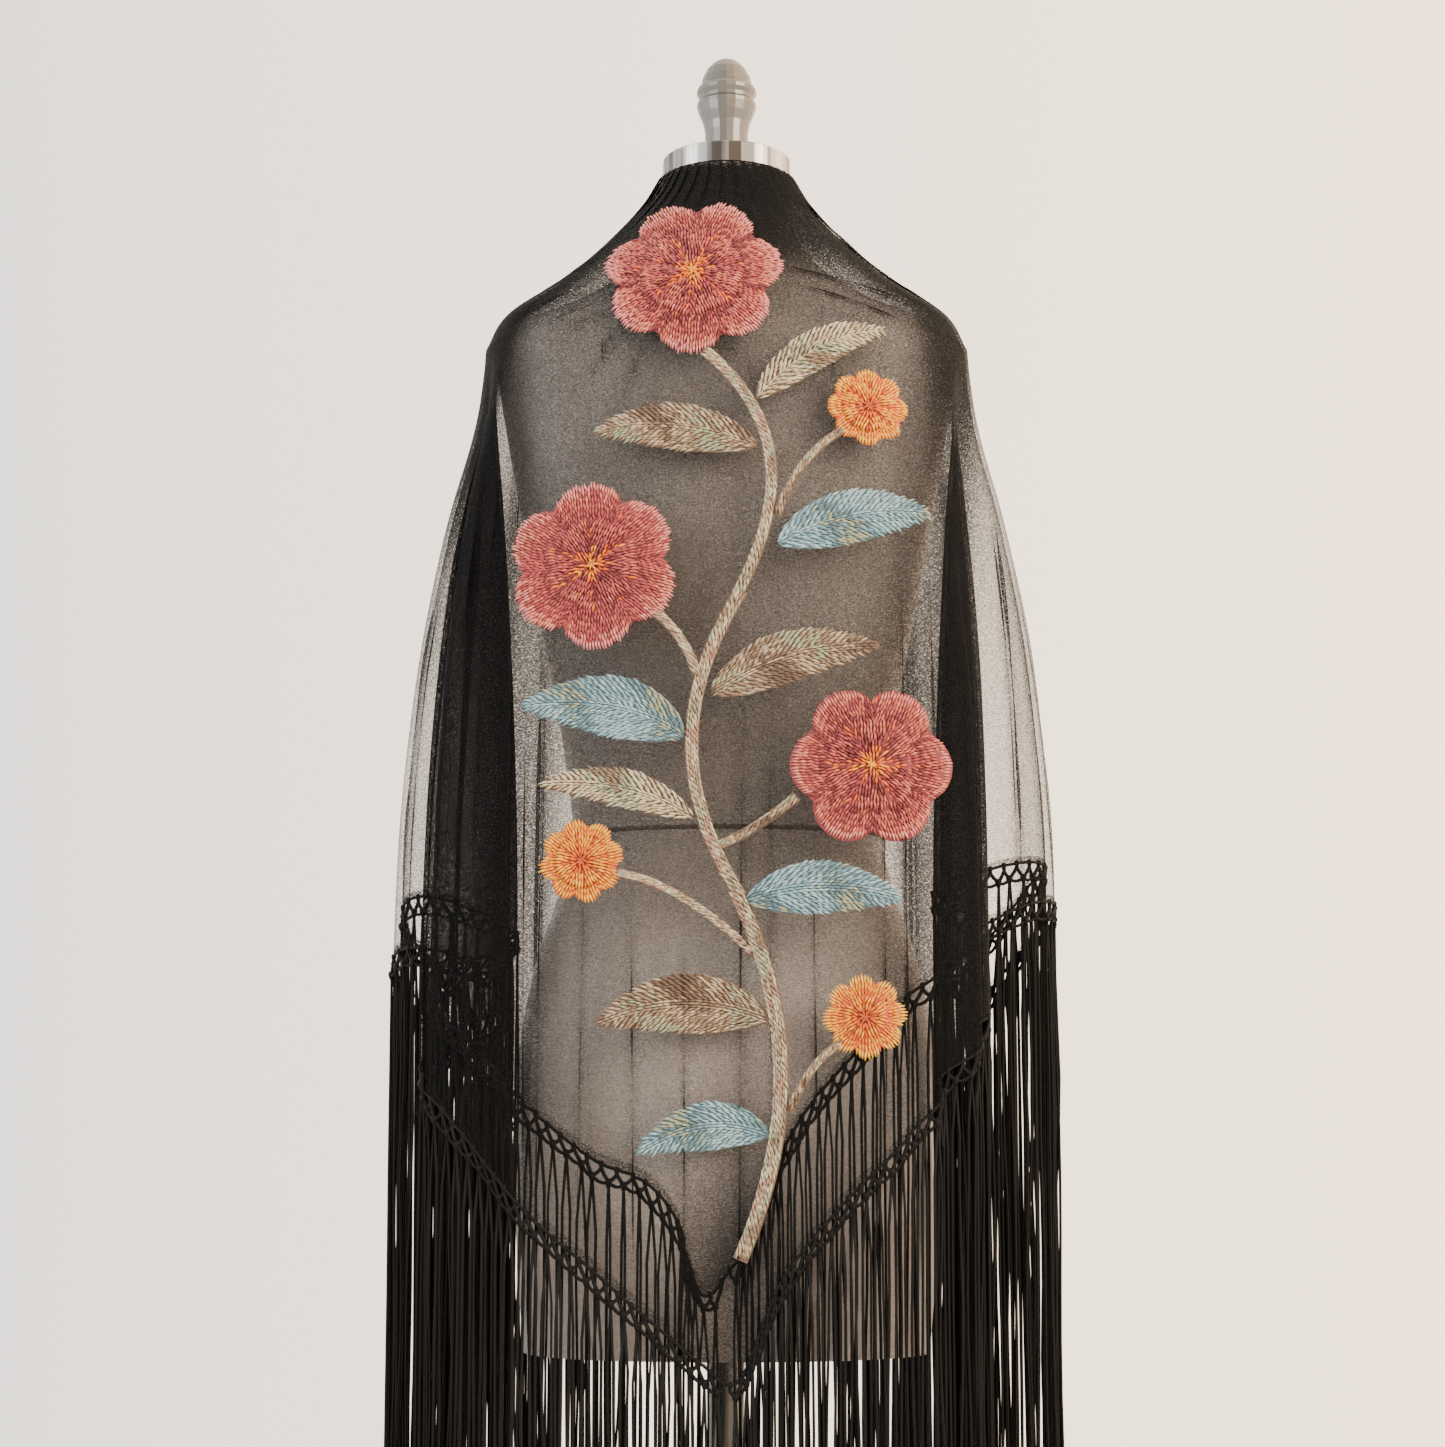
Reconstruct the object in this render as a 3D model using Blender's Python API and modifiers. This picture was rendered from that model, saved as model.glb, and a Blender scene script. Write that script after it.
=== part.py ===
"""A fringed mesh shawl worn over the back of a limbless dress form.

The form faces +Y, so the shawl's embroidered back faces -Y. The origin is the centre of the
stand base's underside, and all sizes are in metres.
"""

import itertools
import math
from collections import namedtuple

import bmesh
import bpy
import numpy as np
from mathutils import Vector
from mathutils.bvhtree import BVHTree

# Heights of the form on its stand
BASE_RADIUS = 0.190
BASE_THICKNESS = 0.028
POLE_RADIUS = 0.0125
FORM_BOTTOM = 0.675
SHOULDER = 1.395
NECK_RADIUS = 0.0475
NECK_TOP = 1.528
CAP_HEIGHT = 0.016
SEAT_GAP = 0.0003
HEM_GAP = 0.0009

# The shawl: a square folded on its diagonal into two leaves
WALL = 0.0012
SHAWL_TOP = 1.531
FRINGE_LENGTH = 0.46
HEADING_DEPTH = 0.018
STRAND_WIDTH = 0.0026
COLUMNS_A_SIDE = 40

# Raised embroidery
YARN_LIFT = 0.0007
YARN_RIM = 0.0011
YARN_CROWN = 0.0023
SETTLING_ROUNDS = 4

# The torso's sections: half width across, and depth behind and before the neck's axis
FormSection = namedtuple("FormSection", "height half_width back front squareness")
FORM_SECTIONS = [
    FormSection(FORM_BOTTOM, 0.144, 0.100, 0.100, 2.2),
    FormSection(0.740, 0.149, 0.106, 0.104, 2.2),
    FormSection(0.820, 0.151, 0.110, 0.107, 2.2),
    FormSection(0.890, 0.148, 0.108, 0.108, 2.2),
    FormSection(0.950, 0.137, 0.094, 0.105, 2.2),
    FormSection(1.000, 0.121, 0.078, 0.100, 2.1),
    FormSection(1.040, 0.112, 0.070, 0.096, 2.1),
    FormSection(1.085, 0.116, 0.074, 0.100, 2.1),
    FormSection(1.150, 0.127, 0.084, 0.112, 2.1),
    FormSection(1.220, 0.141, 0.090, 0.130, 2.1),
    FormSection(1.270, 0.150, 0.093, 0.134, 2.15),
    FormSection(1.320, 0.159, 0.093, 0.122, 2.2),
    FormSection(1.370, 0.1670, 0.090, 0.104, 2.25),
    FormSection(1.398, 0.1700, 0.084, 0.092, 2.3),
    FormSection(1.412, 0.1620, 0.076, 0.080, 2.3),
    FormSection(1.430, 0.1180, 0.066, 0.064, 2.2),
    FormSection(1.452, 0.0800, 0.058, 0.054, 2.1),
    FormSection(1.475, 0.0580, 0.051, 0.049, 2.0),
    FormSection(1.500, NECK_RADIUS, NECK_RADIUS, NECK_RADIUS, 2.0),
    FormSection(NECK_TOP - SEAT_GAP, NECK_RADIUS, NECK_RADIUS, NECK_RADIUS, 2.0),
]

# How the cloth stands out from the neck down to the shoulders
TentSection = namedtuple("TentSection", "height half_width back front squareness edge_angle")
TENT_SECTIONS = [
    TentSection(SHAWL_TOP, 0.0512, 0.0512, 0.0512, 2.0, 138),
    TentSection(1.506, 0.0640, 0.0590, 0.0590, 2.0, 140),
    TentSection(1.476, 0.0920, 0.0710, 0.0730, 2.05, 144),
    TentSection(1.446, 0.1260, 0.0850, 0.0900, 2.15, 147),
    TentSection(1.420, 0.1640, 0.0970, 0.1080, 2.25, 149),
    TentSection(SHOULDER, 0.1775, 0.1060, 0.1240, 2.35, 150),
]

# How far each height has spread from the shoulders' section to the full folds
Spread = namedtuple("Spread", "height share")
SPREADS = [
    Spread(SHOULDER, 0.0),
    Spread(1.340, 0.19),
    Spread(1.280, 0.46),
    Spread(1.220, 0.66),
    Spread(1.146, 0.84),
    Spread(1.030, 1.0),
    Spread(0.640, 1.0),
]

# The full folds in plan on each side, from the centre back to the front end. At each share of
# the way a column leaves the shoulders at that angle and hangs at that place.
Fold = namedtuple("Fold", "share shoulder_angle across depth")
RIGHT_FOLDS = [
    Fold(0.00, 0, 0.000, -0.126),
    Fold(0.11, 21, 0.062, -0.129),
    Fold(0.22, 41, 0.122, -0.124),
    Fold(0.29, 53, 0.160, -0.112),
    Fold(0.325, 59, 0.178, -0.101),
    Fold(0.36, 65, 0.171, -0.086),
    Fold(0.40, 70, 0.153, -0.078),
    Fold(0.435, 75, 0.150, -0.062),
    Fold(0.475, 80, 0.166, -0.050),
    Fold(0.53, 86, 0.196, -0.040),
    Fold(0.59, 93, 0.226, -0.020),
    Fold(0.64, 99, 0.2365, 0.012),
    Fold(0.70, 107, 0.219, 0.046),
    Fold(0.755, 115, 0.187, 0.068),
    Fold(0.80, 122, 0.183, 0.098),
    Fold(0.85, 130, 0.150, 0.122),
    Fold(0.90, 137, 0.140, 0.148),
    Fold(0.95, 144, 0.110, 0.158),
    Fold(1.00, 150, 0.080, 0.166),
]
LEFT_FOLDS = [
    Fold(0.00, 0, 0.000, -0.126),
    Fold(0.11, 21, 0.062, -0.129),
    Fold(0.22, 40, 0.124, -0.126),
    Fold(0.31, 54, 0.174, -0.119),
    Fold(0.365, 62, 0.203, -0.104),
    Fold(0.40, 67, 0.194, -0.086),
    Fold(0.445, 73, 0.160, -0.075),
    Fold(0.48, 78, 0.153, -0.058),
    Fold(0.52, 83, 0.176, -0.046),
    Fold(0.57, 90, 0.212, -0.034),
    Fold(0.62, 97, 0.236, -0.008),
    Fold(0.67, 104, 0.233, 0.026),
    Fold(0.72, 111, 0.204, 0.052),
    Fold(0.77, 118, 0.186, 0.078),
    Fold(0.82, 126, 0.176, 0.110),
    Fold(0.865, 133, 0.152, 0.123),
    Fold(0.91, 139, 0.136, 0.146),
    Fold(0.955, 145, 0.104, 0.157),
    Fold(1.00, 150, 0.072, 0.167),
]

# Soft upright folds of the back: signed share of the way, width in shares, and height
SoftFold = namedtuple("SoftFold", "share width height")
SOFT_FOLDS = [
    SoftFold(-0.255, 0.028, 0.0032),
    SoftFold(-0.175, 0.030, -0.0026),
    SoftFold(-0.105, 0.034, 0.0030),
    SoftFold(0.015, 0.032, -0.0034),
    SoftFold(0.085, 0.034, 0.0026),
    SoftFold(0.185, 0.032, 0.0030),
]

# The lower edges of both leaves, by signed share of the way from the centre back
Hem = namedtuple("Hem", "share outer inner")
HEMS = [
    Hem(-1.00, 0.690, 0.735),
    Hem(-0.90, 0.760, 0.800),
    Hem(-0.78, 0.860, 0.895),
    Hem(-0.66, 0.940, 0.975),
    Hem(-0.58, 0.958, 0.995),
    Hem(-0.45, 0.915, 0.955),
    Hem(-0.34, 0.845, 0.905),
    Hem(-0.24, 0.777, 0.848),
    Hem(-0.165, 0.740, 0.812),
    Hem(-0.06, 0.690, 0.772),
    Hem(-0.030, 0.676, 0.722),
    Hem(0.012, 0.664, 0.745),
    Hem(0.060, 0.726, 0.812),
    Hem(0.130, 0.776, 0.866),
    Hem(0.230, 0.832, 0.922),
    Hem(0.325, 0.905, 0.962),
    Hem(0.45, 0.955, 1.000),
    Hem(0.60, 0.992, 1.020),
    Hem(0.70, 0.965, 1.000),
    Hem(0.80, 0.870, 0.905),
    Hem(0.90, 0.775, 0.815),
    Hem(1.00, 0.700, 0.745),
]

# Where the wall's rows lie between the shoulders and the hem
ROW_SHARES = [0.12, 0.30, 0.52, 0.76, 1.0]

# Clear distance that opens between the leaves, by height
LeafGap = namedtuple("LeafGap", "height gap")
LEAF_GAPS = [
    LeafGap(SHAWL_TOP, 0.0005),
    LeafGap(SHOULDER, 0.0012),
    LeafGap(1.15, 0.0030),
    LeafGap(1.03, 0.0042),
    LeafGap(0.64, 0.0042),
]

# The embroidery seen from behind. Blossoms are rounded, with a number of petals.
Blossom = namedtuple("Blossom", "name across height radius petals tilt sides colour")
CORAL = (0.62, 0.17, 0.13)
ROSE = (0.75, 0.18, 0.17)
GOLD = (0.80, 0.42, 0.05)
BLOSSOMS = [
    Blossom("blossom_nape", -0.024, 1.430, 0.062, 7, 10, 28, CORAL),
    Blossom("blossom_left", -0.092, 1.215, 0.058, 6, 35, 24, ROSE),
    Blossom("blossom_right", 0.098, 1.075, 0.056, 6, 0, 24, CORAL),
    Blossom("bud_right_upper", 0.098, 1.330, 0.028, 8, 0, 16, GOLD),
    Blossom("bud_left_lower", -0.098, 1.010, 0.028, 8, 12, 16, GOLD),
    Blossom("bud_right_lower", 0.092, 0.905, 0.026, 8, 5, 16, GOLD),
]

# Leaves and stems run through three places each, as seen from behind
Sprig = namedtuple("Sprig", "name start bend end width colour")
BLUE = (0.28, 0.44, 0.50)
CREAM = (0.56, 0.51, 0.38)
TAUPE = (0.30, 0.22, 0.15)
STEM = (0.42, 0.33, 0.22)
LEAVES = [
    Sprig("leaf_1", (0.0400, 1.232), (0.088, 1.250), (0.142, 1.254), 0.038, BLUE),
    Sprig("leaf_2", (0.0160, 1.302), (-0.038, 1.314), (-0.092, 1.310), 0.034, TAUPE),
    Sprig("leaf_3", (0.0235, 1.338), (0.064, 1.372), (0.112, 1.388), 0.028, CREAM),
    Sprig("leaf_4", (-0.0335, 1.098), (-0.080, 1.116), (-0.140, 1.116), 0.042, BLUE),
    Sprig("leaf_5", (-0.0060, 1.128), (0.042, 1.150), (0.104, 1.158), 0.036, TAUPE),
    Sprig("leaf_6", (-0.0275, 1.042), (-0.074, 1.060), (-0.128, 1.062), 0.026, CREAM),
    Sprig("leaf_7", (0.0190, 0.985), (0.066, 0.992), (0.118, 0.984), 0.036, BLUE),
    Sprig("leaf_8", (0.0230, 0.905), (-0.030, 0.914), (-0.088, 0.900), 0.040, TAUPE),
    Sprig("leaf_9", (0.0235, 0.828), (-0.016, 0.832), (-0.060, 0.814), 0.032, BLUE),
]
STEMS = [
    Sprig("stem_lower", (0.012, 0.752), (0.036, 0.870), (0.008, 0.985), 0.0105, STEM),
    Sprig("stem_middle", (0.006, 0.992), (-0.024, 1.090), (0.006, 1.190), 0.0095, STEM),
    Sprig("stem_upper", (0.008, 1.197), (0.030, 1.290), (-0.010, 1.364), 0.0085, STEM),
    Sprig("branch_1", (-0.0235, 1.146), (-0.032, 1.163), (-0.0435, 1.176), 0.007, STEM),
    Sprig("branch_2", (0.001, 1.024), (0.020, 1.034), (0.040, 1.048), 0.007, TAUPE),
    Sprig("branch_3", (0.038, 1.258), (0.054, 1.288), (0.074, 1.308), 0.006, TAUPE),
    Sprig("branch_4", (0.012, 0.953), (-0.030, 0.985), (-0.066, 1.000), 0.006, STEM),
    Sprig("branch_5", (0.0455, 0.850), (0.058, 0.872), (0.069, 0.883), 0.006, TAUPE),
]


def collection_named(name):
    found = bpy.data.collections.new(name)
    bpy.context.scene.collection.children.link(found)
    return found


def material(name, colour, roughness, metallic=0.0):
    made = bpy.data.materials.new(name)
    made.use_nodes = True
    shader = made.node_tree.nodes["Principled BSDF"]
    shader.inputs["Base Color"].default_value = (*colour, 1.0)
    shader.inputs["Roughness"].default_value = roughness
    shader.inputs["Metallic"].default_value = metallic
    return made


def add_mesh(name, points, faces, surface, home, smooth=True):
    """One closed solid from its points and faces."""
    mesh = bpy.data.meshes.new(name)
    mesh.from_pydata([tuple(p) for p in points], [], faces)
    work = bmesh.new()
    work.from_mesh(mesh)
    bmesh.ops.recalc_face_normals(work, faces=work.faces)
    if work.calc_volume(signed=True) < 0:
        bmesh.ops.reverse_faces(work, faces=work.faces)
    work.to_mesh(mesh)
    work.free()
    if smooth:
        mesh.shade_smooth()
        mesh.set_sharp_from_angle(angle=math.radians(40))
    mesh.materials.append(surface)
    made = bpy.data.objects.new(name, mesh)
    home.objects.link(made)
    return made


def add_turned(name, profile, surface, home, steps=28):
    """A turned piece: a profile of (radius, height) rows, top to bottom, swept round Z."""
    mesh = bpy.data.meshes.new(name)
    edges = [(i, i + 1) for i in range(len(profile) - 1)]
    mesh.from_pydata([(radius, 0, height) for radius, height in profile], edges, [])
    mesh.materials.append(surface)
    made = bpy.data.objects.new(name, mesh)
    home.objects.link(made)
    screw = made.modifiers.new("Turn", "SCREW")
    screw.steps = steps
    screw.render_steps = steps
    screw.use_merge_vertices = True
    screw.merge_threshold = 0.00005
    screw.use_smooth_shade = True
    return made


# Sections and smooth tables
def column(rows, name):
    return np.array([getattr(row, name) for row in rows], float)


def smooth_table(rows, key, name, at):
    """A smooth curve through a table's rows, read at any key values."""
    keys, values = column(rows, key), column(rows, name)
    if keys[0] > keys[-1]:
        keys, values = keys[::-1], values[::-1]
    at = np.clip(np.asarray(at, float), keys[0], keys[-1])
    steps = np.diff(values) / np.diff(keys)
    slopes = np.concatenate([[steps[0]], (steps[:-1] + steps[1:]) / 2, [steps[-1]]])
    i = np.clip(np.searchsorted(keys, at, side="right") - 1, 0, len(keys) - 2)
    width = keys[i + 1] - keys[i]
    u = (at - keys[i]) / width
    rise = u * u * (3 - 2 * u)
    start = values[i] * (1 - rise) + values[i + 1] * rise
    bend = u * (1 - u) * width * ((1 - u) * slopes[i] - u * slopes[i + 1])
    return start + bend


def straight_table(rows, key, name, at):
    keys, values = column(rows, key), column(rows, name)
    order = np.argsort(keys)
    return np.interp(at, keys[order], values[order])


def oval(angle, half_width, back, front, squareness=2.0):
    """Plan place at an angle from the centre back, on a rounded section."""
    sine, cosine = np.sin(angle), np.cos(angle)
    across = half_width * np.sign(sine) * np.abs(sine) ** (2 / squareness)
    reach = np.abs(cosine) ** (2 / squareness)
    along = np.where(cosine > 0, -back * reach, front * reach)
    return across, along


# The drape: share runs from -1 at the left front end, over 0 at the centre back, to 1
def drape_point(share, height):
    """The outer leaf's outer face."""
    share, height = np.broadcast_arrays(np.asarray(share, float), np.asarray(height, float))
    part = np.abs(share)
    side = np.sign(share)
    right = share >= 0

    def folds(name):
        return np.where(
            right,
            smooth_table(RIGHT_FOLDS, "share", name, part),
            smooth_table(LEFT_FOLDS, "share", name, part),
        )

    tent_height = np.maximum(height, SHOULDER)
    last_angle = smooth_table(TENT_SECTIONS, "height", "edge_angle", tent_height)
    angle = np.radians(side * folds("shoulder_angle") * last_angle / 150)
    tent_x, tent_y = oval(
        angle,
        smooth_table(TENT_SECTIONS, "height", "half_width", tent_height),
        smooth_table(TENT_SECTIONS, "height", "back", tent_height),
        smooth_table(TENT_SECTIONS, "height", "front", tent_height),
        smooth_table(TENT_SECTIONS, "height", "squareness", tent_height),
    )
    spread = smooth_table(SPREADS, "height", "share", np.minimum(height, SHOULDER))
    soft = np.zeros_like(share)
    for fold in SOFT_FOLDS:
        soft += fold.height * np.exp(-(((share - fold.share) / fold.width) ** 2))
    x = tent_x * (1 - spread) + side * folds("across") * spread
    y = tent_y * (1 - spread) + (folds("depth") - soft) * spread
    return np.stack([x, y, height], axis=-1)


def drape_normal(share, height):
    """The outward direction of the drape."""
    step, drop = 0.002, 0.002
    along = drape_point(share + step, height) - drape_point(share - step, height)
    down = drape_point(share, height - drop) - drape_point(share, height + drop)
    normal = np.cross(down, along)
    return normal / np.linalg.norm(normal, axis=-1, keepdims=True)


def column_shares():
    """Columns lie closer where the folds turn."""
    half = np.linspace(0, 1, COLUMNS_A_SIDE + 1)
    return np.concatenate([-half[:0:-1], half])


def leaf_grid(hem_name, inset):
    """Outer and inner points of one leaf, rows from the neck down and columns round it."""
    shares = column_shares()
    hem = smooth_table(HEMS, "share", hem_name, shares)
    rows = [np.full(len(shares), height) for height in column(TENT_SECTIONS, "height")]
    rows += [SHOULDER + (hem - SHOULDER) * part for part in ROW_SHARES]
    heights = np.array(rows)
    shares = np.broadcast_to(shares, heights.shape)
    points, normals = drape_point(shares, heights), drape_normal(shares, heights)
    gap = straight_table(LEAF_GAPS, "height", "gap", heights)[..., None]
    outer = points - normals * (inset * (gap + WALL))
    return outer, outer - normals * WALL


def grid_faces(rows, columns):
    """The triangles of a grid's face, by point number."""
    faces = []
    for row in range(rows - 1):
        for place in range(columns - 1):
            a = row * columns + place
            b = a + columns
            faces += [[a, b, b + 1], [a, b + 1, a + 1]]
    return faces


def add_leaf(name, outer, inner, surface, home):
    """A wall between two grids of points, closed round its rim."""
    rows, columns = outer.shape[:2]
    count = rows * columns

    def at(row, place):
        return row * columns + place

    faces = grid_faces(rows, columns)
    faces += [[count + corner for corner in reversed(face)] for face in faces]
    top = [at(0, place) for place in range(columns)]
    right = [at(row, columns - 1) for row in range(1, rows)]
    bottom = [at(rows - 1, place) for place in range(columns - 2, -1, -1)]
    left = [at(row, 0) for row in range(rows - 2, 0, -1)]
    rim = top + right + bottom + left
    for here, there in zip(rim, rim[1:] + rim[:1]):
        faces.append([here, there, count + there, count + here])
    points = np.concatenate([outer.reshape(-1, 3), inner.reshape(-1, 3)])
    return add_mesh(name, points, faces, surface, home)


def add_fringe(name, outer_edge, inner_edge, surface, home):
    """A narrow knotted heading under a hem, with one strand at each column of the cloth."""
    along = np.linalg.norm(np.diff(outer_edge, axis=0), axis=1)
    sections, rooted = [], []
    drop = Vector((0, 0, -1))
    for i, length in enumerate(along):
        for part in (0.0, min(0.5, STRAND_WIDTH / length)):
            outer = Vector(outer_edge[i] + (outer_edge[i + 1] - outer_edge[i]) * part)
            inner = Vector(inner_edge[i] + (inner_edge[i + 1] - inner_edge[i]) * part)
            sections.append((outer, inner))
            rooted.append(part == 0.0)
    sections.append((Vector(outer_edge[-1]), Vector(inner_edge[-1])))
    points, faces = [], []
    for outer, inner in sections:
        points += [outer + drop * HEM_GAP, inner + drop * HEM_GAP]
        points += [inner + drop * HEADING_DEPTH, outer + drop * HEADING_DEPTH]
    for i in range(len(sections) - 1):
        here, there = 4 * i, 4 * (i + 1)
        for a, b in ((0, 1), (1, 2), (3, 0)):
            faces.append([here + a, here + b, there + b, there + a])
        root = [here + 2, here + 3, there + 3, there + 2]
        if not rooted[i]:
            faces.append(root)
            continue
        tip = len(points)
        points += [points[corner] + drop * FRINGE_LENGTH for corner in root]
        faces.append([tip, tip + 1, tip + 2, tip + 3])
        for k in range(4):
            after = (k + 1) % 4
            faces.append([root[k], root[after], tip + after, tip + k])
    last = 4 * (len(sections) - 1)
    faces += [[0, 1, 2, 3], [last + 3, last + 2, last + 1, last]]
    return add_mesh(name, points, faces, surface, home, smooth=False)


# Embroidery lies on the outer leaf, seen from behind
class Ground:
    """The outer leaf's outer face, found from behind at a place across and a height."""

    def __init__(self, outer):
        points = [Vector(p) for p in outer.reshape(-1, 3)]
        self.tree = BVHTree.FromPolygons(points, grid_faces(*outer.shape[:2]))

    def under(self, spot):
        """The cloth's point and outward direction behind a spot of the design."""
        start = Vector((spot[0], -0.5, spot[1]))
        place, normal, _, _ = self.tree.ray_cast(start, Vector((0, 1, 0)))
        return place, -normal if normal.y > 0 else normal


def lie_on(ground, spots, faces):
    """Underside points for the spots, raised until no face touches the cloth between them."""
    seats = [ground.under(spot) for spot in spots]
    lifts = [YARN_LIFT] * len(spots)
    for _ in range(SETTLING_ROUNDS):
        for face in faces:
            corners = [seats[i][0] + seats[i][1] * lifts[i] for i in face]
            for a, b in itertools.combinations(range(len(face)), 2):
                for part in (0.25, 0.5, 0.75):
                    between = corners[a].lerp(corners[b], part)
                    cloth, _ = ground.under((between.x, between.z))
                    short = YARN_LIFT * 0.8 - (cloth.y - between.y)
                    if short > 0:
                        lifts[face[a]] += short / 2
                        lifts[face[b]] += short / 2
    return [(place, normal, lift) for (place, normal), lift in zip(seats, lifts)]


def add_raised(name, spots, crowns, faces, rim, colour, ground, home):
    """A raised piece of yarn work: spots of the design, each with its own thickness."""
    seats = lie_on(ground, spots, faces)
    under = [place + normal * lift for place, normal, lift in seats]
    over = [
        place + normal * (lift + crown)
        for (place, normal, lift), crown in zip(seats, crowns)
    ]
    count = len(spots)
    shell = [list(face) for face in faces]
    shell += [[count + corner for corner in reversed(face)] for face in faces]
    for here, there in zip(rim, rim[1:] + rim[:1]):
        shell.append([here, there, count + there, count + here])
    add_mesh(name, over + under, shell, material(name, colour, 0.8), home)


def add_blossom(blossom, ground, home):
    """A rounded blossom with scalloped petals and a raised crown."""
    rings = (0.5, 1.0) if blossom.sides < 20 else (0.36, 0.70, 1.0)
    spots, crowns = [(blossom.across, blossom.height)], [YARN_CROWN]
    for ring in rings:
        for i in range(blossom.sides):
            turn = 2 * math.pi * i / blossom.sides
            wave = abs(math.cos(blossom.petals * (turn - math.radians(blossom.tilt)) / 2))
            reach = blossom.radius * ring * (1 - 0.20 * ring * (1 - wave**0.7))
            across = blossom.across + reach * math.cos(turn)
            spots.append((across, blossom.height + reach * math.sin(turn)))
            crowns.append(YARN_RIM if ring == 1.0 else YARN_CROWN)
    faces = []
    for i in range(blossom.sides):
        after = (i + 1) % blossom.sides
        faces.append([0, 1 + i, 1 + after])
        for ring in range(len(rings) - 1):
            a = 1 + ring * blossom.sides
            b = a + blossom.sides
            faces.append([a + i, b + i, b + after, a + after])
    rim = list(range(len(spots) - blossom.sides, len(spots)))
    add_raised(blossom.name, spots, crowns, faces, rim, blossom.colour, ground, home)


def curve_through(sprig, part):
    """A place and direction on the smooth curve through a sprig's three places."""
    start, bend, end = (np.array(p) for p in (sprig.start, sprig.bend, sprig.end))
    middle = 2 * bend - (start + end) / 2
    place = (1 - part) ** 2 * start + 2 * part * (1 - part) * middle + part**2 * end
    way = 2 * (1 - part) * (middle - start) + 2 * part * (end - middle)
    return place, way / np.linalg.norm(way)


def add_sprig(sprig, ground, home, pointed):
    """A leaf that comes to a point, or a stem of even width, raised along its middle."""
    length = math.dist(sprig.start, sprig.bend) + math.dist(sprig.bend, sprig.end)
    stations = 8 if pointed else max(3, round(length / 0.016))
    spots, crowns, faces = [], [], []
    for i in range(stations + 1):
        part = i / stations
        place, way = curve_through(sprig, part)
        across = np.array([-way[1], way[0]])
        half = sprig.width / 2
        if pointed:
            half *= 0.06 + 0.94 * math.sin(math.pi * part**0.85) ** 0.8
        spots += [place - across * half, place, place + across * half]
        crowns += [YARN_RIM, YARN_CROWN, YARN_RIM]
    for i in range(stations):
        a, b = 3 * i, 3 * (i + 1)
        faces += [[a, b, b + 1, a + 1], [a + 1, b + 1, b + 2, a + 2]]
    last = 3 * stations
    rim = list(range(0, last + 1, 3)) + [last + 1]
    rim += list(range(last + 2, 1, -3)) + [1]
    add_raised(sprig.name, spots, crowns, faces, rim, sprig.colour, ground, home)


# The dress form and its stand
def add_form(surface, home):
    """The linen torso: a closed loft through its sections."""
    sides = 28
    angles = np.arange(sides) * 2 * math.pi / sides
    points = []
    for section in FORM_SECTIONS:
        across, along = oval(angles, *section[1:])
        points += [(x, y, section.height) for x, y in zip(across, along)]
    faces = []
    for row in range(len(FORM_SECTIONS) - 1):
        for i in range(sides):
            after = (i + 1) % sides
            a, b = row * sides, (row + 1) * sides
            faces.append([a + i, a + after, b + after, b + i])
    faces.append(list(range(sides)))
    faces.append(list(range(len(points) - sides, len(points))))
    return add_mesh("form_body", points, faces, surface, home)


def add_stand(metal, iron, home):
    base_top = BASE_THICKNESS
    add_turned(
        "stand_base",
        [
            (0, base_top),
            (0.030, base_top),
            (0.034, base_top - 0.004),
            (0.060, base_top - 0.008),
            (BASE_RADIUS - 0.012, 0.012),
            (BASE_RADIUS - 0.002, 0.009),
            (BASE_RADIUS, 0.006),
            (BASE_RADIUS, 0),
            (0, 0),
        ],
        iron,
        home,
    )
    bpy.ops.mesh.primitive_cylinder_add(
        vertices=20,
        radius=POLE_RADIUS,
        depth=FORM_BOTTOM - base_top - 2 * SEAT_GAP,
        location=(0, 0, (FORM_BOTTOM + base_top) / 2),
    )
    pole = bpy.context.object
    pole.name = "stand_pole"
    pole.data.materials.append(metal)
    for owner in list(pole.users_collection):
        owner.objects.unlink(pole)
    home.objects.link(pole)


def add_cap_and_finial(steel, satin, home):
    cap_top = NECK_TOP + CAP_HEIGHT
    add_turned(
        "neck_cap",
        [
            (0, cap_top),
            (NECK_RADIUS - 0.0010, cap_top),
            (NECK_RADIUS, cap_top - 0.0010),
            (NECK_RADIUS, NECK_TOP + 0.0008),
            (NECK_RADIUS - 0.0008, NECK_TOP),
            (0, NECK_TOP),
        ],
        steel,
        home,
    )
    foot = cap_top + SEAT_GAP
    finial = [
        (0, 0.0792),
        (0.0050, 0.0785),
        (0.0100, 0.0757),
        (0.0148, 0.0705),
        (0.0180, 0.0640),
        (0.0190, 0.0585),
        (0.0205, 0.0572),
        (0.0222, 0.0545),
        (0.0222, 0.0518),
        (0.0205, 0.0488),
        (0.0205, 0.0462),
        (0.0220, 0.0442),
        (0.0220, 0.0415),
        (0.0200, 0.0352),
        (0.0172, 0.0285),
        (0.0160, 0.0220),
        (0.0160, 0.0),
        (0, 0.0),
    ]
    add_turned("finial", [(r, foot + h) for r, h in finial], satin, home, steps=20)


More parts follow.
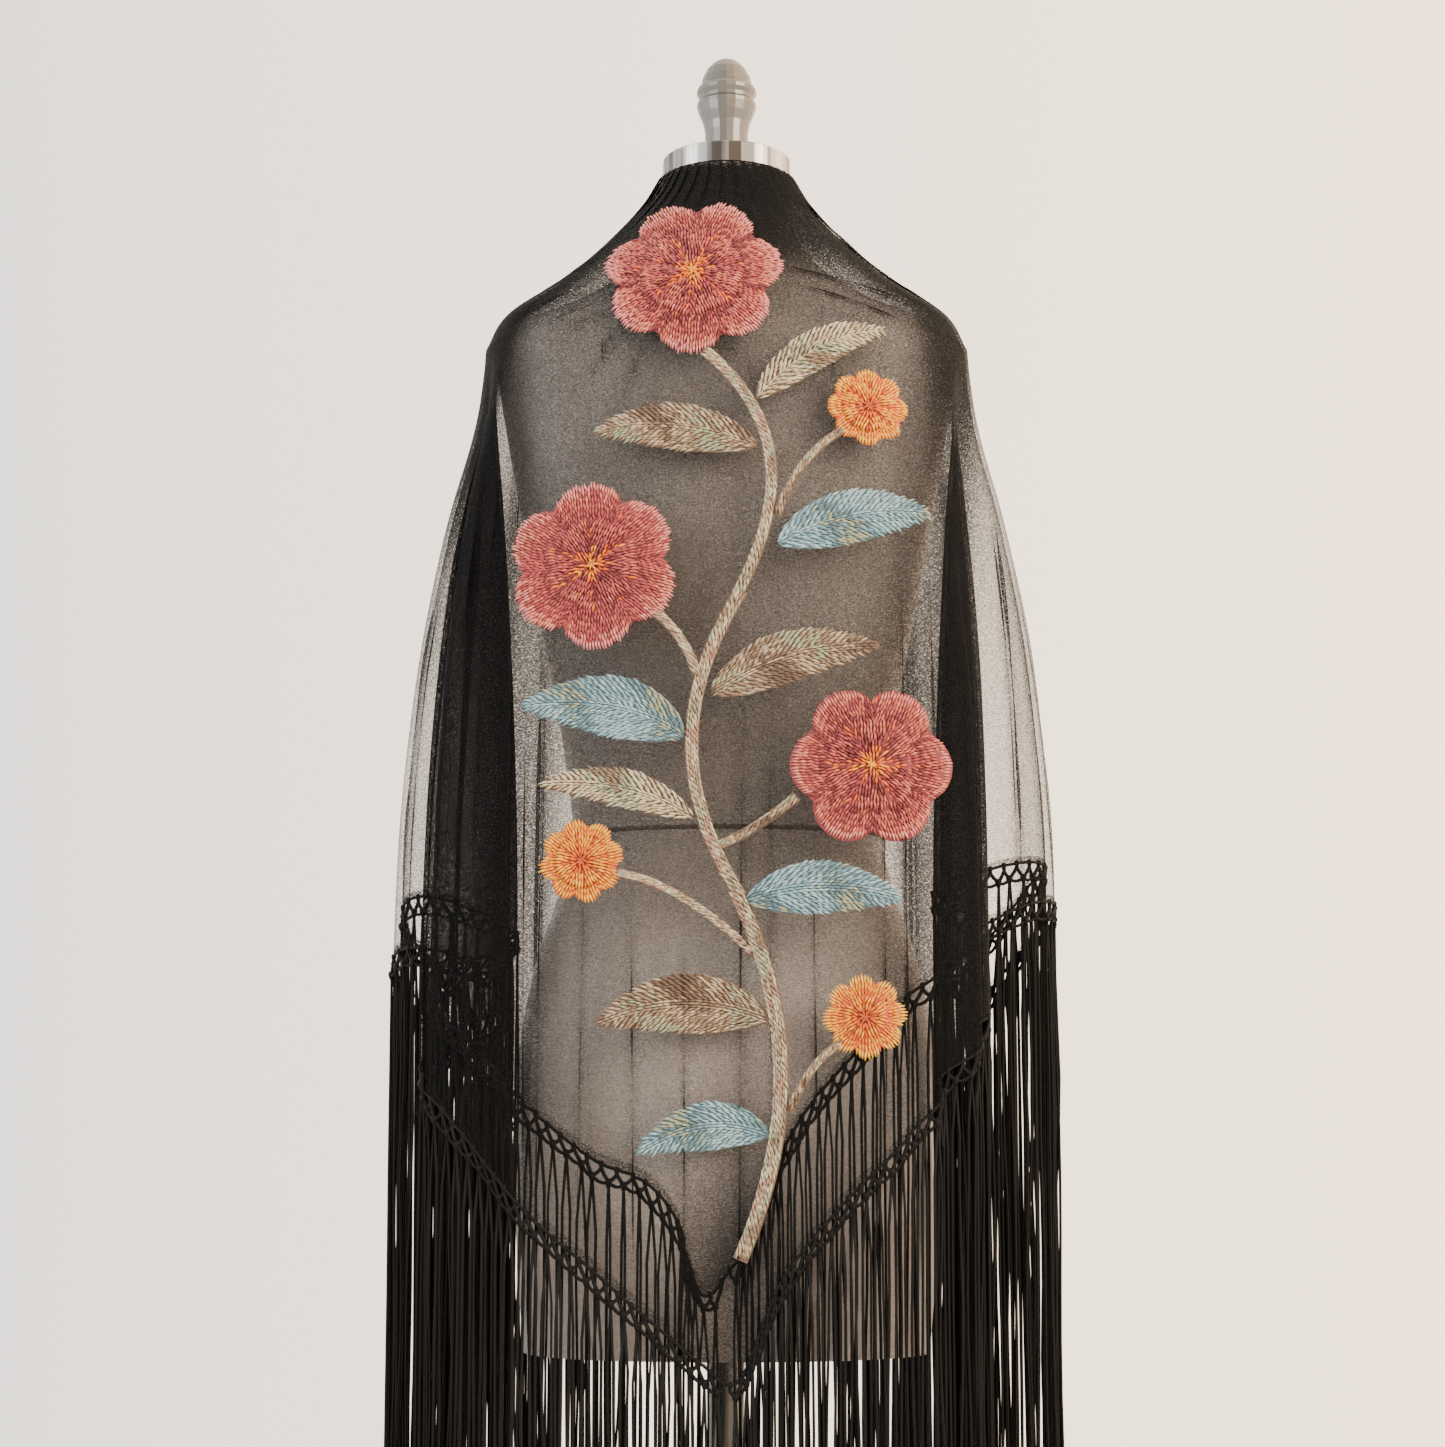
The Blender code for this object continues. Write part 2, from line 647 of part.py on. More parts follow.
def build():
    for old in list(bpy.data.objects):
        bpy.data.objects.remove(old)
    home = collection_named("fringed_shawl_on_dress_form")
    linen = material("linen", (0.42, 0.35, 0.29), 0.9)
    steel = material("brushed_steel", (0.60, 0.59, 0.57), 0.35, 1.0)
    satin = material("satin_grey", (0.42, 0.41, 0.40), 0.45, 0.6)
    iron = material("cast_iron", (0.05, 0.05, 0.05), 0.5, 0.4)
    net = material("black_mesh", (0.02, 0.02, 0.02), 0.7)
    yarn = material("black_fringe_yarn", (0.01, 0.01, 0.01), 0.6)

    add_form(linen, home)
    add_stand(steel, iron, home)
    add_cap_and_finial(steel, satin, home)
    for leaf, inset in (("outer", 0), ("inner", 1)):
        outer, inner = leaf_grid(leaf, inset)
        add_leaf(f"mesh_{leaf}_leaf", outer, inner, net, home)
        middle = COLUMNS_A_SIDE
        for side, part in (("left", slice(0, middle)), ("right", slice(middle + 1, None))):
            edges = outer[-1][part], inner[-1][part]
            add_fringe(f"fringe_{leaf}_{side}", *edges, yarn, home)
        if leaf == "outer":
            ground = Ground(outer)
    for blossom in BLOSSOMS:
        add_blossom(blossom, ground, home)
    for sprig in LEAVES:
        add_sprig(sprig, ground, home, pointed=True)
    for sprig in STEMS:
        add_sprig(sprig, ground, home, pointed=False)


build()
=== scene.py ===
import math
from collections import namedtuple

import bpy
import numpy as np
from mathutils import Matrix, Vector
from mathutils.bvhtree import BVHTree


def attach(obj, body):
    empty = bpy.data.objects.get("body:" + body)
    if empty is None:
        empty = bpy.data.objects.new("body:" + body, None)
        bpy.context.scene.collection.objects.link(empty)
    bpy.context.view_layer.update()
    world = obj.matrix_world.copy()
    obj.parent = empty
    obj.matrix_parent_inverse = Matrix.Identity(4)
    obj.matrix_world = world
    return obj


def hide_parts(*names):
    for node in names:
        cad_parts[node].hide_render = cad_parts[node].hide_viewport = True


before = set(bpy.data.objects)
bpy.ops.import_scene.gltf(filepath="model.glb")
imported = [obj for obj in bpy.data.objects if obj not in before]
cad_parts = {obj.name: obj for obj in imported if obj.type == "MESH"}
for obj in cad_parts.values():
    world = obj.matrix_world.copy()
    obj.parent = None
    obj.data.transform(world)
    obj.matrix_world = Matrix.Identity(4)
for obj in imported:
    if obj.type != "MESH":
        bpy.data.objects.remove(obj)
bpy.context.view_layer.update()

# The room is a pale photo studio: a bright pale wall, dimmer on the camera's side, a pale floor, a
# warm window to the right and a weaker cool one to the left. The camera stands behind the form.
PALE_FLOOR = (0.62, 0.61, 0.60)
WALL_LEFT = (2.15, 2.04, 1.92)
WALL_RIGHT = (3.90, 2.95, 2.15)
NEAR_WALL_SHARE = 0.65
PX_WIDE, FOCAL_PX, SENSOR_MM = 1445, 2700, 36

bpy.ops.mesh.primitive_circle_add(vertices=96, radius=4.0, fill_type="NGON", location=(0, 0, -0.001))
floor = bpy.context.object
floor.name = "studio_floor"
floor_paint = bpy.data.materials.new("pale_floor")
floor_paint.use_nodes = True
floor_paint.node_tree.nodes["Principled BSDF"].inputs["Base Color"].default_value = (*PALE_FLOOR, 1)
floor_paint.node_tree.nodes["Principled BSDF"].inputs["Roughness"].default_value = 0.8
floor.data.materials.append(floor_paint)


def rescaled(nodes, links, source, start=0.0, end=1.0, low=0.0, high=1.0):
    """A value moved from one range to another and held at its ends."""
    node = nodes.new("ShaderNodeMapRange")
    for name, value in (("From Min", start), ("From Max", end), ("To Min", low), ("To Max", high)):
        node.inputs[name].default_value = value
    links.new(source, node.inputs["Value"])
    return node.outputs["Result"]


room = bpy.data.worlds.new("studio")
bpy.context.scene.world = room
room.use_nodes = True
nodes, links = room.node_tree.nodes, room.node_tree.links
direction = nodes.new("ShaderNodeTexCoord")
split = nodes.new("ShaderNodeSeparateXYZ")
blend = nodes.new("ShaderNodeMix")
blend.data_type = "RGBA"
blend.inputs["A"].default_value = (*WALL_LEFT, 1)
blend.inputs["B"].default_value = (*WALL_RIGHT, 1)
links.new(direction.outputs["Generated"], split.inputs["Vector"])
links.new(rescaled(nodes, links, split.outputs["X"], -0.3, 0.3), blend.inputs["Factor"])
links.new(blend.outputs["Result"], nodes["Background"].inputs["Color"])
nearness = rescaled(nodes, links, split.outputs["Y"], -0.7, 0.3, NEAR_WALL_SHARE)
links.new(nearness, nodes["Background"].inputs["Strength"])

LIGHTS = [
    ("window_right", (1.9, -1.5, 2.0), 1.5, 84, (1.0, 0.87, 0.72)),
    ("window_left", (-2.1, -1.2, 1.7), 1.4, 44, (0.88, 0.94, 1.0)),
]
for name, place, size, power, tint in LIGHTS:
    lamp = bpy.data.lights.new(name, "AREA")
    lamp.size, lamp.energy, lamp.color = size, power, tint
    lamp_object = bpy.data.objects.new(name, lamp)
    lamp_object.location = place
    aim = Vector((0, 0, 1.15)) - lamp_object.location
    lamp_object.rotation_euler = aim.to_track_quat("-Z", "Y").to_euler()
    bpy.context.scene.collection.objects.link(lamp_object)

camera_data = bpy.data.cameras.new("photo_camera")
camera_data.sensor_width = SENSOR_MM
camera_data.lens = SENSOR_MM * FOCAL_PX / PX_WIDE
camera_data.shift_y = 0.07
camera = bpy.data.objects.new("photo_camera", camera_data)
camera.location = (-0.003, -1.94, 0.828)
camera.rotation_euler = (math.radians(90 + 6.5), 0, 0)
bpy.context.scene.collection.objects.link(camera)
bpy.context.scene.camera = camera

# The dress form is a padded papier-mache torso under a stretched cover of natural linen. The
# cover is cut in panels that meet in seams, with a narrow tape sewn round the waist.
FormSection = namedtuple("FormSection", "height half_width back front squareness")
FORM_SECTIONS = [
    FormSection(0.675, 0.144, 0.100, 0.100, 2.2),
    FormSection(0.740, 0.149, 0.106, 0.104, 2.2),
    FormSection(0.820, 0.151, 0.110, 0.107, 2.2),
    FormSection(0.890, 0.148, 0.108, 0.108, 2.2),
    FormSection(0.950, 0.137, 0.094, 0.105, 2.2),
    FormSection(1.000, 0.121, 0.078, 0.100, 2.1),
    FormSection(1.040, 0.112, 0.070, 0.096, 2.1),
    FormSection(1.085, 0.116, 0.074, 0.100, 2.1),
    FormSection(1.150, 0.127, 0.084, 0.112, 2.1),
    FormSection(1.220, 0.141, 0.090, 0.130, 2.1),
    FormSection(1.270, 0.150, 0.093, 0.134, 2.15),
    FormSection(1.320, 0.159, 0.093, 0.122, 2.2),
    FormSection(1.370, 0.167, 0.090, 0.104, 2.25),
    FormSection(1.398, 0.170, 0.084, 0.092, 2.3),
    FormSection(1.412, 0.162, 0.076, 0.080, 2.3),
    FormSection(1.430, 0.118, 0.066, 0.064, 2.2),
    FormSection(1.452, 0.080, 0.058, 0.054, 2.1),
    FormSection(1.475, 0.058, 0.051, 0.049, 2.0),
    FormSection(1.500, 0.0475, 0.0475, 0.0475, 2.0),
    FormSection(1.5277, 0.0475, 0.0475, 0.0475, 2.0),
]
FORM_ROWS, FORM_SIDES = 150, 288
SEAMS = [0, 37.5, 90, 142.5, 180, 217.5, 270, 322.5]
SEAM_DEPTH, SEAM_WIDTH = 0.0011, 0.0026
WAIST, TAPE_HALF, TAPE_LIFT = 1.040, 0.0016, 0.0005


def column(rows, name):
    return np.array([getattr(row, name) for row in rows], float)


def smooth_table(rows, key, name, at):
    """A smooth curve through a table's rows, read at any key values."""
    keys, values = column(rows, key), column(rows, name)
    if keys[0] > keys[-1]:
        keys, values = keys[::-1], values[::-1]
    at = np.clip(np.asarray(at, float), keys[0], keys[-1])
    steps = np.diff(values) / np.diff(keys)
    slopes = np.concatenate([[steps[0]], (steps[:-1] + steps[1:]) / 2, [steps[-1]]])
    i = np.clip(np.searchsorted(keys, at, side="right") - 1, 0, len(keys) - 2)
    width = keys[i + 1] - keys[i]
    u = (at - keys[i]) / width
    rise = u * u * (3 - 2 * u)
    start = values[i] * (1 - rise) + values[i + 1] * rise
    return start + u * (1 - u) * width * ((1 - u) * slopes[i] - u * slopes[i + 1])


def oval(angle, half_width, back, front, squareness=2.0):
    """Plan place at an angle from the centre back, on a rounded section."""
    sine, cosine = np.sin(angle), np.cos(angle)
    across = half_width * np.sign(sine) * np.abs(sine) ** (2 / squareness)
    reach = np.abs(cosine) ** (2 / squareness)
    return across, np.where(cosine > 0, -back * reach, front * reach)


def unit(vectors):
    return vectors / np.maximum(np.linalg.norm(vectors, axis=-1, keepdims=True), 1e-12)


def piece(name, points, faces, surfaces, stands_for=(), face_surface=None):
    """A shown mesh that rides on the object's one body and stands for its plain solids."""
    mesh = bpy.data.meshes.new(name)
    mesh.from_pydata(np.asarray(points).reshape(-1, 3).tolist(), [], faces)
    mesh.shade_smooth()
    for surface in surfaces:
        mesh.materials.append(surface)
    if face_surface is not None:
        mesh.polygons.foreach_set("material_index", np.asarray(face_surface, np.int32))
    made = bpy.data.objects.new(name, mesh)
    bpy.context.scene.collection.objects.link(made)
    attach(made, "root")
    if stands_for:
        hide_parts(*stands_for)
    return made


def grid_quads(rows, columns, closed=False):
    """The faces of a grid of points, row by row; closed joins the last column to the first."""
    row = np.arange(rows - 1)[:, None]
    place = np.arange(columns if closed else columns - 1)[None, :]
    after = (place + 1) % columns
    a, b = row * columns + place, row * columns + after
    return np.stack([a, b, b + columns, a + columns], -1).reshape(-1, 4).tolist()


def effect(name, outputs):
    """An empty shared shader effect with the named outputs, and its nodes and links."""
    group = bpy.data.node_groups.new(name, "ShaderNodeTree")
    for output, kind in outputs:
        group.interface.new_socket(output, in_out="OUTPUT", socket_type=kind)
    return group, group.nodes, group.links, group.nodes.new("NodeGroupOutput")


def add_noise(nodes, links, coordinates, scale, detail=2.0, stretch=(1, 1, 1)):
    """A noise texture on the piece's own coordinates, stretched along its axes."""
    mapping = nodes.new("ShaderNodeMapping")
    mapping.inputs["Scale"].default_value = stretch
    noise = nodes.new("ShaderNodeTexNoise")
    noise.inputs["Scale"].default_value = scale
    noise.inputs["Detail"].default_value = detail
    links.new(coordinates.outputs["Object"], mapping.inputs["Vector"])
    links.new(mapping.outputs["Vector"], noise.inputs["Vector"])
    return noise


def shaded(nodes, links, source, dark, light, start=0.0, end=1.0):
    """A colour between a dark and a light shade, by a value."""
    node = nodes.new("ShaderNodeValToRGB")
    for stop, place, colour in zip(node.color_ramp.elements, (start, end), (dark, light)):
        stop.position, stop.color = place, (*colour, 1)
    links.new(source, node.inputs["Fac"])
    return node.outputs["Color"]


def surface(name, colour, roughness, metallic=0.0):
    """A material with constant values, and its shader."""
    made = bpy.data.materials.new(name)
    made.use_nodes = True
    shader = made.node_tree.nodes["Principled BSDF"]
    shader.inputs["Base Color"].default_value = (*colour, 1)
    shader.inputs["Roughness"].default_value = roughness
    shader.inputs["Metallic"].default_value = metallic
    return made, shader


def tinted(made, shader, group, bump=0.0, distance=0.0):
    """The material takes its colour from a shared effect, and its relief where bump is given."""
    tree = made.node_tree
    node = tree.nodes.new("ShaderNodeGroup")
    node.node_tree = group
    if "Colour" in node.outputs:
        tree.links.new(node.outputs["Colour"], shader.inputs["Base Color"])
    if bump:
        relief = tree.nodes.new("ShaderNodeBump")
        relief.inputs["Strength"].default_value = bump
        relief.inputs["Distance"].default_value = distance
        tree.links.new(node.outputs["Height"], relief.inputs["Height"])
        tree.links.new(relief.outputs["Normal"], shader.inputs["Normal"])
    return node


weave, nodes, links, out = effect(
    "linen_weave", [("Colour", "NodeSocketColor"), ("Height", "NodeSocketFloat")]
)
where = nodes.new("ShaderNodeTexCoord")
warp = add_noise(nodes, links, where, 520, 1.0, (3.0, 3.0, 0.35))
weft = add_noise(nodes, links, where, 520, 1.0, (0.35, 0.35, 3.0))
crossed = nodes.new("ShaderNodeMath")
crossed.operation = "ADD"
links.new(warp.outputs["Fac"], crossed.inputs[0])
links.new(weft.outputs["Fac"], crossed.inputs[1])
halved = nodes.new("ShaderNodeMath")
halved.operation = "MULTIPLY"
halved.inputs[1].default_value = 0.5
links.new(crossed.outputs[0], halved.inputs[0])
shade = shaded(
    nodes, links, halved.outputs[0], (0.440, 0.388, 0.352), (0.740, 0.680, 0.630), 0.30, 0.72
)
links.new(shade, out.inputs["Colour"])
links.new(halved.outputs[0], out.inputs["Height"])
linen, linen_shader = surface("linen_cover", (0.42, 0.35, 0.29), 0.9)
tinted(linen, linen_shader, weave, 0.4, 0.0006)

FORM_INSET = 0.0006


def form_plan(angle, height):
    """The form's plan place at an angle from the centre back and a height."""
    names = FormSection._fields[1:]
    return oval(angle, *(smooth_table(FORM_SECTIONS, "height", name, height) for name in names))


form_heights = np.linspace(FORM_SECTIONS[0].height, FORM_SECTIONS[-1].height, FORM_ROWS)
form_angles = np.arange(FORM_SIDES) * 2 * math.pi / FORM_SIDES
heights, angles = np.meshgrid(form_heights, form_angles, indexing="ij")
across, along = form_plan(angles, heights)
reach = np.hypot(across, along)
dip = np.full(reach.shape, FORM_INSET)
for seam in SEAMS:
    apart = (angles - math.radians(seam) + math.pi) % (2 * math.pi) - math.pi
    dip += SEAM_DEPTH * np.exp(-((apart * reach / SEAM_WIDTH) ** 2)) * (heights < 1.44)
across, along = across * (1 - dip / reach), along * (1 - dip / reach)
form_points = np.stack([across, along, heights], -1)
last_row = (FORM_ROWS - 1) * FORM_SIDES
form_faces = grid_quads(FORM_ROWS, FORM_SIDES, closed=True)
form_faces.append(list(range(FORM_SIDES))[::-1])
form_faces.append(list(range(last_row, last_row + FORM_SIDES)))
form = piece("linen_form", form_points, form_faces, [linen], ["form_body"])
form.data.set_sharp_from_angle(angle=math.radians(40))

tape_levels = np.array([-1.0, -0.8, 0.8, 1.0])[:, None] * TAPE_HALF + WAIST
tape_heights, tape_angles = np.broadcast_arrays(tape_levels, form_angles)
across, along = form_plan(tape_angles, tape_heights)
tape_rise = np.array([-FORM_INSET, TAPE_LIFT, TAPE_LIFT, -FORM_INSET])[:, None]
stretch = 1 + tape_rise / np.hypot(across, along)
tape_points = np.stack([across * stretch, along * stretch, tape_heights], -1)
tape_linen, tape_shader = surface("linen_tape", (0.22, 0.19, 0.16), 0.9)
tinted(tape_linen, tape_shader, weave, 0.4, 0.0006)
tape_linen.node_tree.links.remove(tape_shader.inputs["Base Color"].links[0])
piece("waist_tape", tape_points, grid_quads(4, FORM_SIDES, closed=True), [tape_linen])

# The stand is a plain steel pole in a heavy black-painted iron base. The neck cap is a turned
# ring of brushed steel and the knob on it is turned and finished in satin grey.
# The steel's colour runs in long upright streaks from near black to pale: partly the brushing of the
# steel, partly painted reflection that stands in for the streaked reflections of the room.
streaks, nodes, links, out = effect(
    "brushed_streaks", [("Colour", "NodeSocketColor"), ("Roughness", "NodeSocketFloat")]
)
where = nodes.new("ShaderNodeTexCoord")
streak_noise = add_noise(nodes, links, where, 34, 4.0, (2.6, 2.6, 0.05))
shade = shaded(
    nodes, links, streak_noise.outputs["Fac"], (0.085, 0.080, 0.072), (0.62, 0.60, 0.57), 0.40, 0.62
)
links.new(shade, out.inputs["Colour"])
rough = rescaled(nodes, links, streak_noise.outputs["Fac"], low=0.18, high=0.42)
links.new(rough, out.inputs["Roughness"])
steel, steel_shader = surface("brushed_steel", (0.6, 0.59, 0.57), 0.3, 1.0)
brushed = tinted(steel, steel_shader, streaks)
steel.node_tree.links.new(brushed.outputs["Roughness"], steel_shader.inputs["Roughness"])

cast, nodes, links, out = effect(
    "fine_cast_grain", [("Colour", "NodeSocketColor"), ("Height", "NodeSocketFloat")]
)
where = nodes.new("ShaderNodeTexCoord")
grain = add_noise(nodes, links, where, 900, 2.0)
shade = shaded(nodes, links, grain.outputs["Fac"], (0.130, 0.126, 0.116), (0.200, 0.194, 0.180))
links.new(shade, out.inputs["Colour"])
links.new(grain.outputs["Fac"], out.inputs["Height"])
satin, satin_shader = surface("satin_grey", (0.30, 0.29, 0.28), 0.34, 0.85)
tinted(satin, satin_shader, cast, 0.15, 0.0003)
iron, iron_shader = surface("black_iron", (0.012, 0.012, 0.012), 0.55)
iron_shader.inputs["Specular IOR Level"].default_value = 0.15
tinted(iron, iron_shader, cast, 0.3, 0.0004)
iron.node_tree.links.remove(iron_shader.inputs["Base Color"].links[0])

for node, finish, slot_name in (
    ("neck_cap", steel, "steel"),
    ("finial", satin, "satin"),
    ("stand_pole", steel, "steel"),
    ("stand_base", iron, "iron"),
):
    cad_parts[node].material_slots[0].material = finish

# The shawl is one square of fine black polyamide mesh folded on its diagonal into two leaves.
# The fold lies round the neck and down both fronts. Both leaves hang in deep folds at the sides.
WALL = 0.0012
SHOULDER, SHAWL_TOP = 1.395, 1.527
TentSection = namedtuple("TentSection", "height half_width back front squareness edge_angle")
TENT_SECTIONS = [
    TentSection(SHAWL_TOP, 0.0512, 0.0512, 0.0512, 2.0, 138),
    TentSection(1.506, 0.0640, 0.0590, 0.0590, 2.0, 140),
    TentSection(1.476, 0.0920, 0.0710, 0.0730, 2.05, 144),
    TentSection(1.446, 0.1260, 0.0850, 0.0900, 2.15, 147),
    TentSection(1.420, 0.1640, 0.0970, 0.1080, 2.25, 149),
    TentSection(SHOULDER, 0.1775, 0.1060, 0.1240, 2.35, 150),
]
Spread = namedtuple("Spread", "height share")
SPREADS = [
    Spread(SHOULDER, 0.0),
    Spread(1.340, 0.19),
    Spread(1.280, 0.46),
    Spread(1.220, 0.66),
    Spread(1.146, 0.84),
    Spread(1.030, 1.0),
    Spread(0.640, 1.0),
]
# Each fold: the share of the way from the centre back, the angle at which its column leaves
# the shoulders, and where it hangs
Fold = namedtuple("Fold", "share shoulder_angle across depth")
RIGHT_FOLDS = [
    Fold(0.00, 0, 0.000, -0.126),
    Fold(0.11, 21, 0.062, -0.129),
    Fold(0.22, 41, 0.122, -0.124),
    Fold(0.29, 53, 0.160, -0.112),
    Fold(0.325, 59, 0.178, -0.101),
    Fold(0.36, 65, 0.171, -0.086),
    Fold(0.40, 70, 0.153, -0.078),
    Fold(0.435, 75, 0.150, -0.062),
    Fold(0.475, 80, 0.166, -0.050),
    Fold(0.53, 86, 0.196, -0.040),
    Fold(0.59, 93, 0.226, -0.020),
    Fold(0.64, 99, 0.2365, 0.012),
    Fold(0.70, 107, 0.219, 0.046),
    Fold(0.755, 115, 0.187, 0.068),
    Fold(0.80, 122, 0.183, 0.098),
    Fold(0.85, 130, 0.150, 0.122),
    Fold(0.90, 137, 0.140, 0.148),
    Fold(0.95, 144, 0.110, 0.158),
    Fold(1.00, 150, 0.080, 0.166),
]
LEFT_FOLDS = [
    Fold(0.00, 0, 0.000, -0.126),
    Fold(0.11, 21, 0.062, -0.129),
    Fold(0.22, 40, 0.124, -0.126),
    Fold(0.31, 54, 0.174, -0.119),
    Fold(0.365, 62, 0.203, -0.104),
    Fold(0.40, 67, 0.194, -0.086),
    Fold(0.445, 73, 0.160, -0.075),
    Fold(0.48, 78, 0.153, -0.058),
    Fold(0.52, 83, 0.176, -0.046),
    Fold(0.57, 90, 0.212, -0.034),
    Fold(0.62, 97, 0.236, -0.008),
    Fold(0.67, 104, 0.233, 0.026),
    Fold(0.72, 111, 0.204, 0.052),
    Fold(0.77, 118, 0.186, 0.078),
    Fold(0.82, 126, 0.176, 0.110),
    Fold(0.865, 133, 0.152, 0.123),
    Fold(0.91, 139, 0.136, 0.146),
    Fold(0.955, 145, 0.104, 0.157),
    Fold(1.00, 150, 0.072, 0.167),
]
SoftFold = namedtuple("SoftFold", "share width height")
SOFT_FOLDS = [
    SoftFold(-0.255, 0.028, 0.0032),
    SoftFold(-0.175, 0.030, -0.0026),
    SoftFold(-0.105, 0.034, 0.0030),
    SoftFold(0.015, 0.032, -0.0034),
    SoftFold(0.085, 0.034, 0.0026),
    SoftFold(0.185, 0.032, 0.0030),
]
Hem = namedtuple("Hem", "share outer inner")
HEMS = [
    Hem(-1.00, 0.690, 0.735),
    Hem(-0.90, 0.760, 0.800),
    Hem(-0.78, 0.860, 0.895),
    Hem(-0.66, 0.940, 0.975),
    Hem(-0.58, 0.958, 0.995),
    Hem(-0.45, 0.915, 0.955),
    Hem(-0.34, 0.845, 0.905),
    Hem(-0.24, 0.777, 0.848),
    Hem(-0.165, 0.740, 0.812),
    Hem(-0.06, 0.690, 0.772),
    Hem(-0.030, 0.676, 0.722),
    Hem(0.012, 0.664, 0.745),
    Hem(0.060, 0.726, 0.812),
    Hem(0.130, 0.776, 0.866),
    Hem(0.230, 0.832, 0.922),
    Hem(0.325, 0.905, 0.962),
    Hem(0.45, 0.955, 1.000),
    Hem(0.60, 0.992, 1.020),
    Hem(0.70, 0.965, 1.000),
    Hem(0.80, 0.870, 0.905),
    Hem(0.90, 0.775, 0.815),
    Hem(1.00, 0.700, 0.745),
]
LeafGap = namedtuple("LeafGap", "height gap")
LEAF_GAPS = [
    LeafGap(0.64, 0.0042),
    LeafGap(1.03, 0.0042),
    LeafGap(1.15, 0.0030),
    LeafGap(SHOULDER, 0.0012),
    LeafGap(SHAWL_TOP, 0.0005),
]
# Sharp creases pressed into the mesh: from one place (share, height) to another, with the
# width of the ridge and how far it stands out
Crease = namedtuple("Crease", "from_share from_height to_share to_height width lift")
CREASES = [
    Crease(-0.365, 1.420, -0.345, 1.512, 0.0052, 0.0014),
    Crease(0.350, 1.420, 0.360, 1.508, 0.0044, 0.0013),
    Crease(0.430, 1.424, 0.425, 1.490, 0.0030, 0.0010),
    Crease(-0.090, 1.438, -0.310, 1.412, 0.0036, 0.0010),
    Crease(-0.085, 1.426, -0.260, 1.400, 0.0032, 0.0009),
    Crease(-0.075, 1.412, -0.215, 1.384, 0.0030, 0.0008),
    Crease(-0.060, 1.400, -0.150, 1.366, 0.0028, 0.0007),
    Crease(0.060, 1.440, 0.290, 1.414, 0.0034, 0.0010),
    Crease(0.070, 1.424, 0.230, 1.398, 0.0030, 0.0008),
    Crease(-0.125, 1.326, -0.060, 1.396, 0.0024, 0.0008),
    Crease(-0.160, 1.350, -0.105, 1.402, 0.0022, 0.0008),
    Crease(-0.026, 1.392, 0.026, 1.352, 0.0024, 0.0008),
    Crease(0.090, 1.384, 0.145, 1.326, 0.0022, 0.0008),
    Crease(-0.270, 1.330, -0.258, 0.800, 0.0044, 0.0016),
    Crease(-0.244, 1.150, -0.240, 0.760, 0.0030, 0.0013),
    Crease(-0.222, 1.120, -0.226, 0.760, 0.0024, 0.0011),
    Crease(-0.172, 1.000, -0.178, 0.740, 0.0022, 0.0010),
    Crease(-0.116, 1.000, -0.110, 0.720, 0.0030, 0.0013),
    Crease(-0.052, 0.960, -0.050, 0.700, 0.0022, 0.0010),
    Crease(0.018, 1.140, 0.014, 0.660, 0.0028, 0.0012),
    Crease(0.050, 1.100, 0.054, 0.700, 0.0024, 0.0011),
    Crease(0.104, 1.020, 0.108, 0.740, 0.0022, 0.0010),
    Crease(0.190, 1.160, 0.192, 0.800, 0.0032, 0.0013),
    Crease(0.216, 1.220, 0.222, 0.820, 0.0028, 0.0012),
    Crease(-0.310, 1.320, -0.306, 0.820, 0.0044, 0.0015),
    Crease(-0.340, 1.280, -0.338, 0.860, 0.0040, 0.0014),
    Crease(-0.575, 1.270, -0.570, 0.940, 0.0034, 0.0012),
    Crease(-0.655, 1.240, -0.665, 0.940, 0.0036, 0.0012),
    Crease(0.560, 1.290, 0.552, 0.960, 0.0036, 0.0012),
    Crease(0.625, 1.260, 0.622, 0.960, 0.0034, 0.0012),
    Crease(0.690, 1.240, 0.700, 0.930, 0.0036, 0.0012),
    Crease(-0.950, 1.300, -0.960, 0.720, 0.0040, 0.0012),
    Crease(0.950, 1.280, 0.958, 0.720, 0.0040, 0.0012),
]
FOLD_OVER = 2.0
CREASE_BUNCHING = 0.22
SHARE_LENGTH = 0.56
PROBE = 0.002
# Bands where the mesh hangs in many small pleats that fold over one another: the middle and
# half width of the band in shares, the pleats a share, and how far they slide and stand out
PleatBand = namedtuple("PleatBand", "middle half pleats slide lift start phase")
PLEAT_BANDS = [
    PleatBand(-0.440, 0.085, 23, 0.0085, 0.0021, 1.34, 0.4),
    PleatBand(0.352, 0.100, 21, 0.0080, 0.0021, 1.26, 1.1),
    PleatBand(-0.850, 0.070, 17, 0.0070, 0.0018, 1.24, 2.0),
    PleatBand(0.845, 0.060, 19, 0.0070, 0.0018, 1.22, 0.2),
]
PLEAT_FADE = 0.12
NECK_PLEATS = PleatBand(0.0, 0.62, 19, 0.0030, 0.0009, 1.472, 0.8)
NECK_FADE = 0.03
LEAF_COLUMNS, TENT_ROWS, SKIRT_ROWS = 591, 104, 56
HEM_BAND, HEM_BUNCHING = 0.990, 0.55


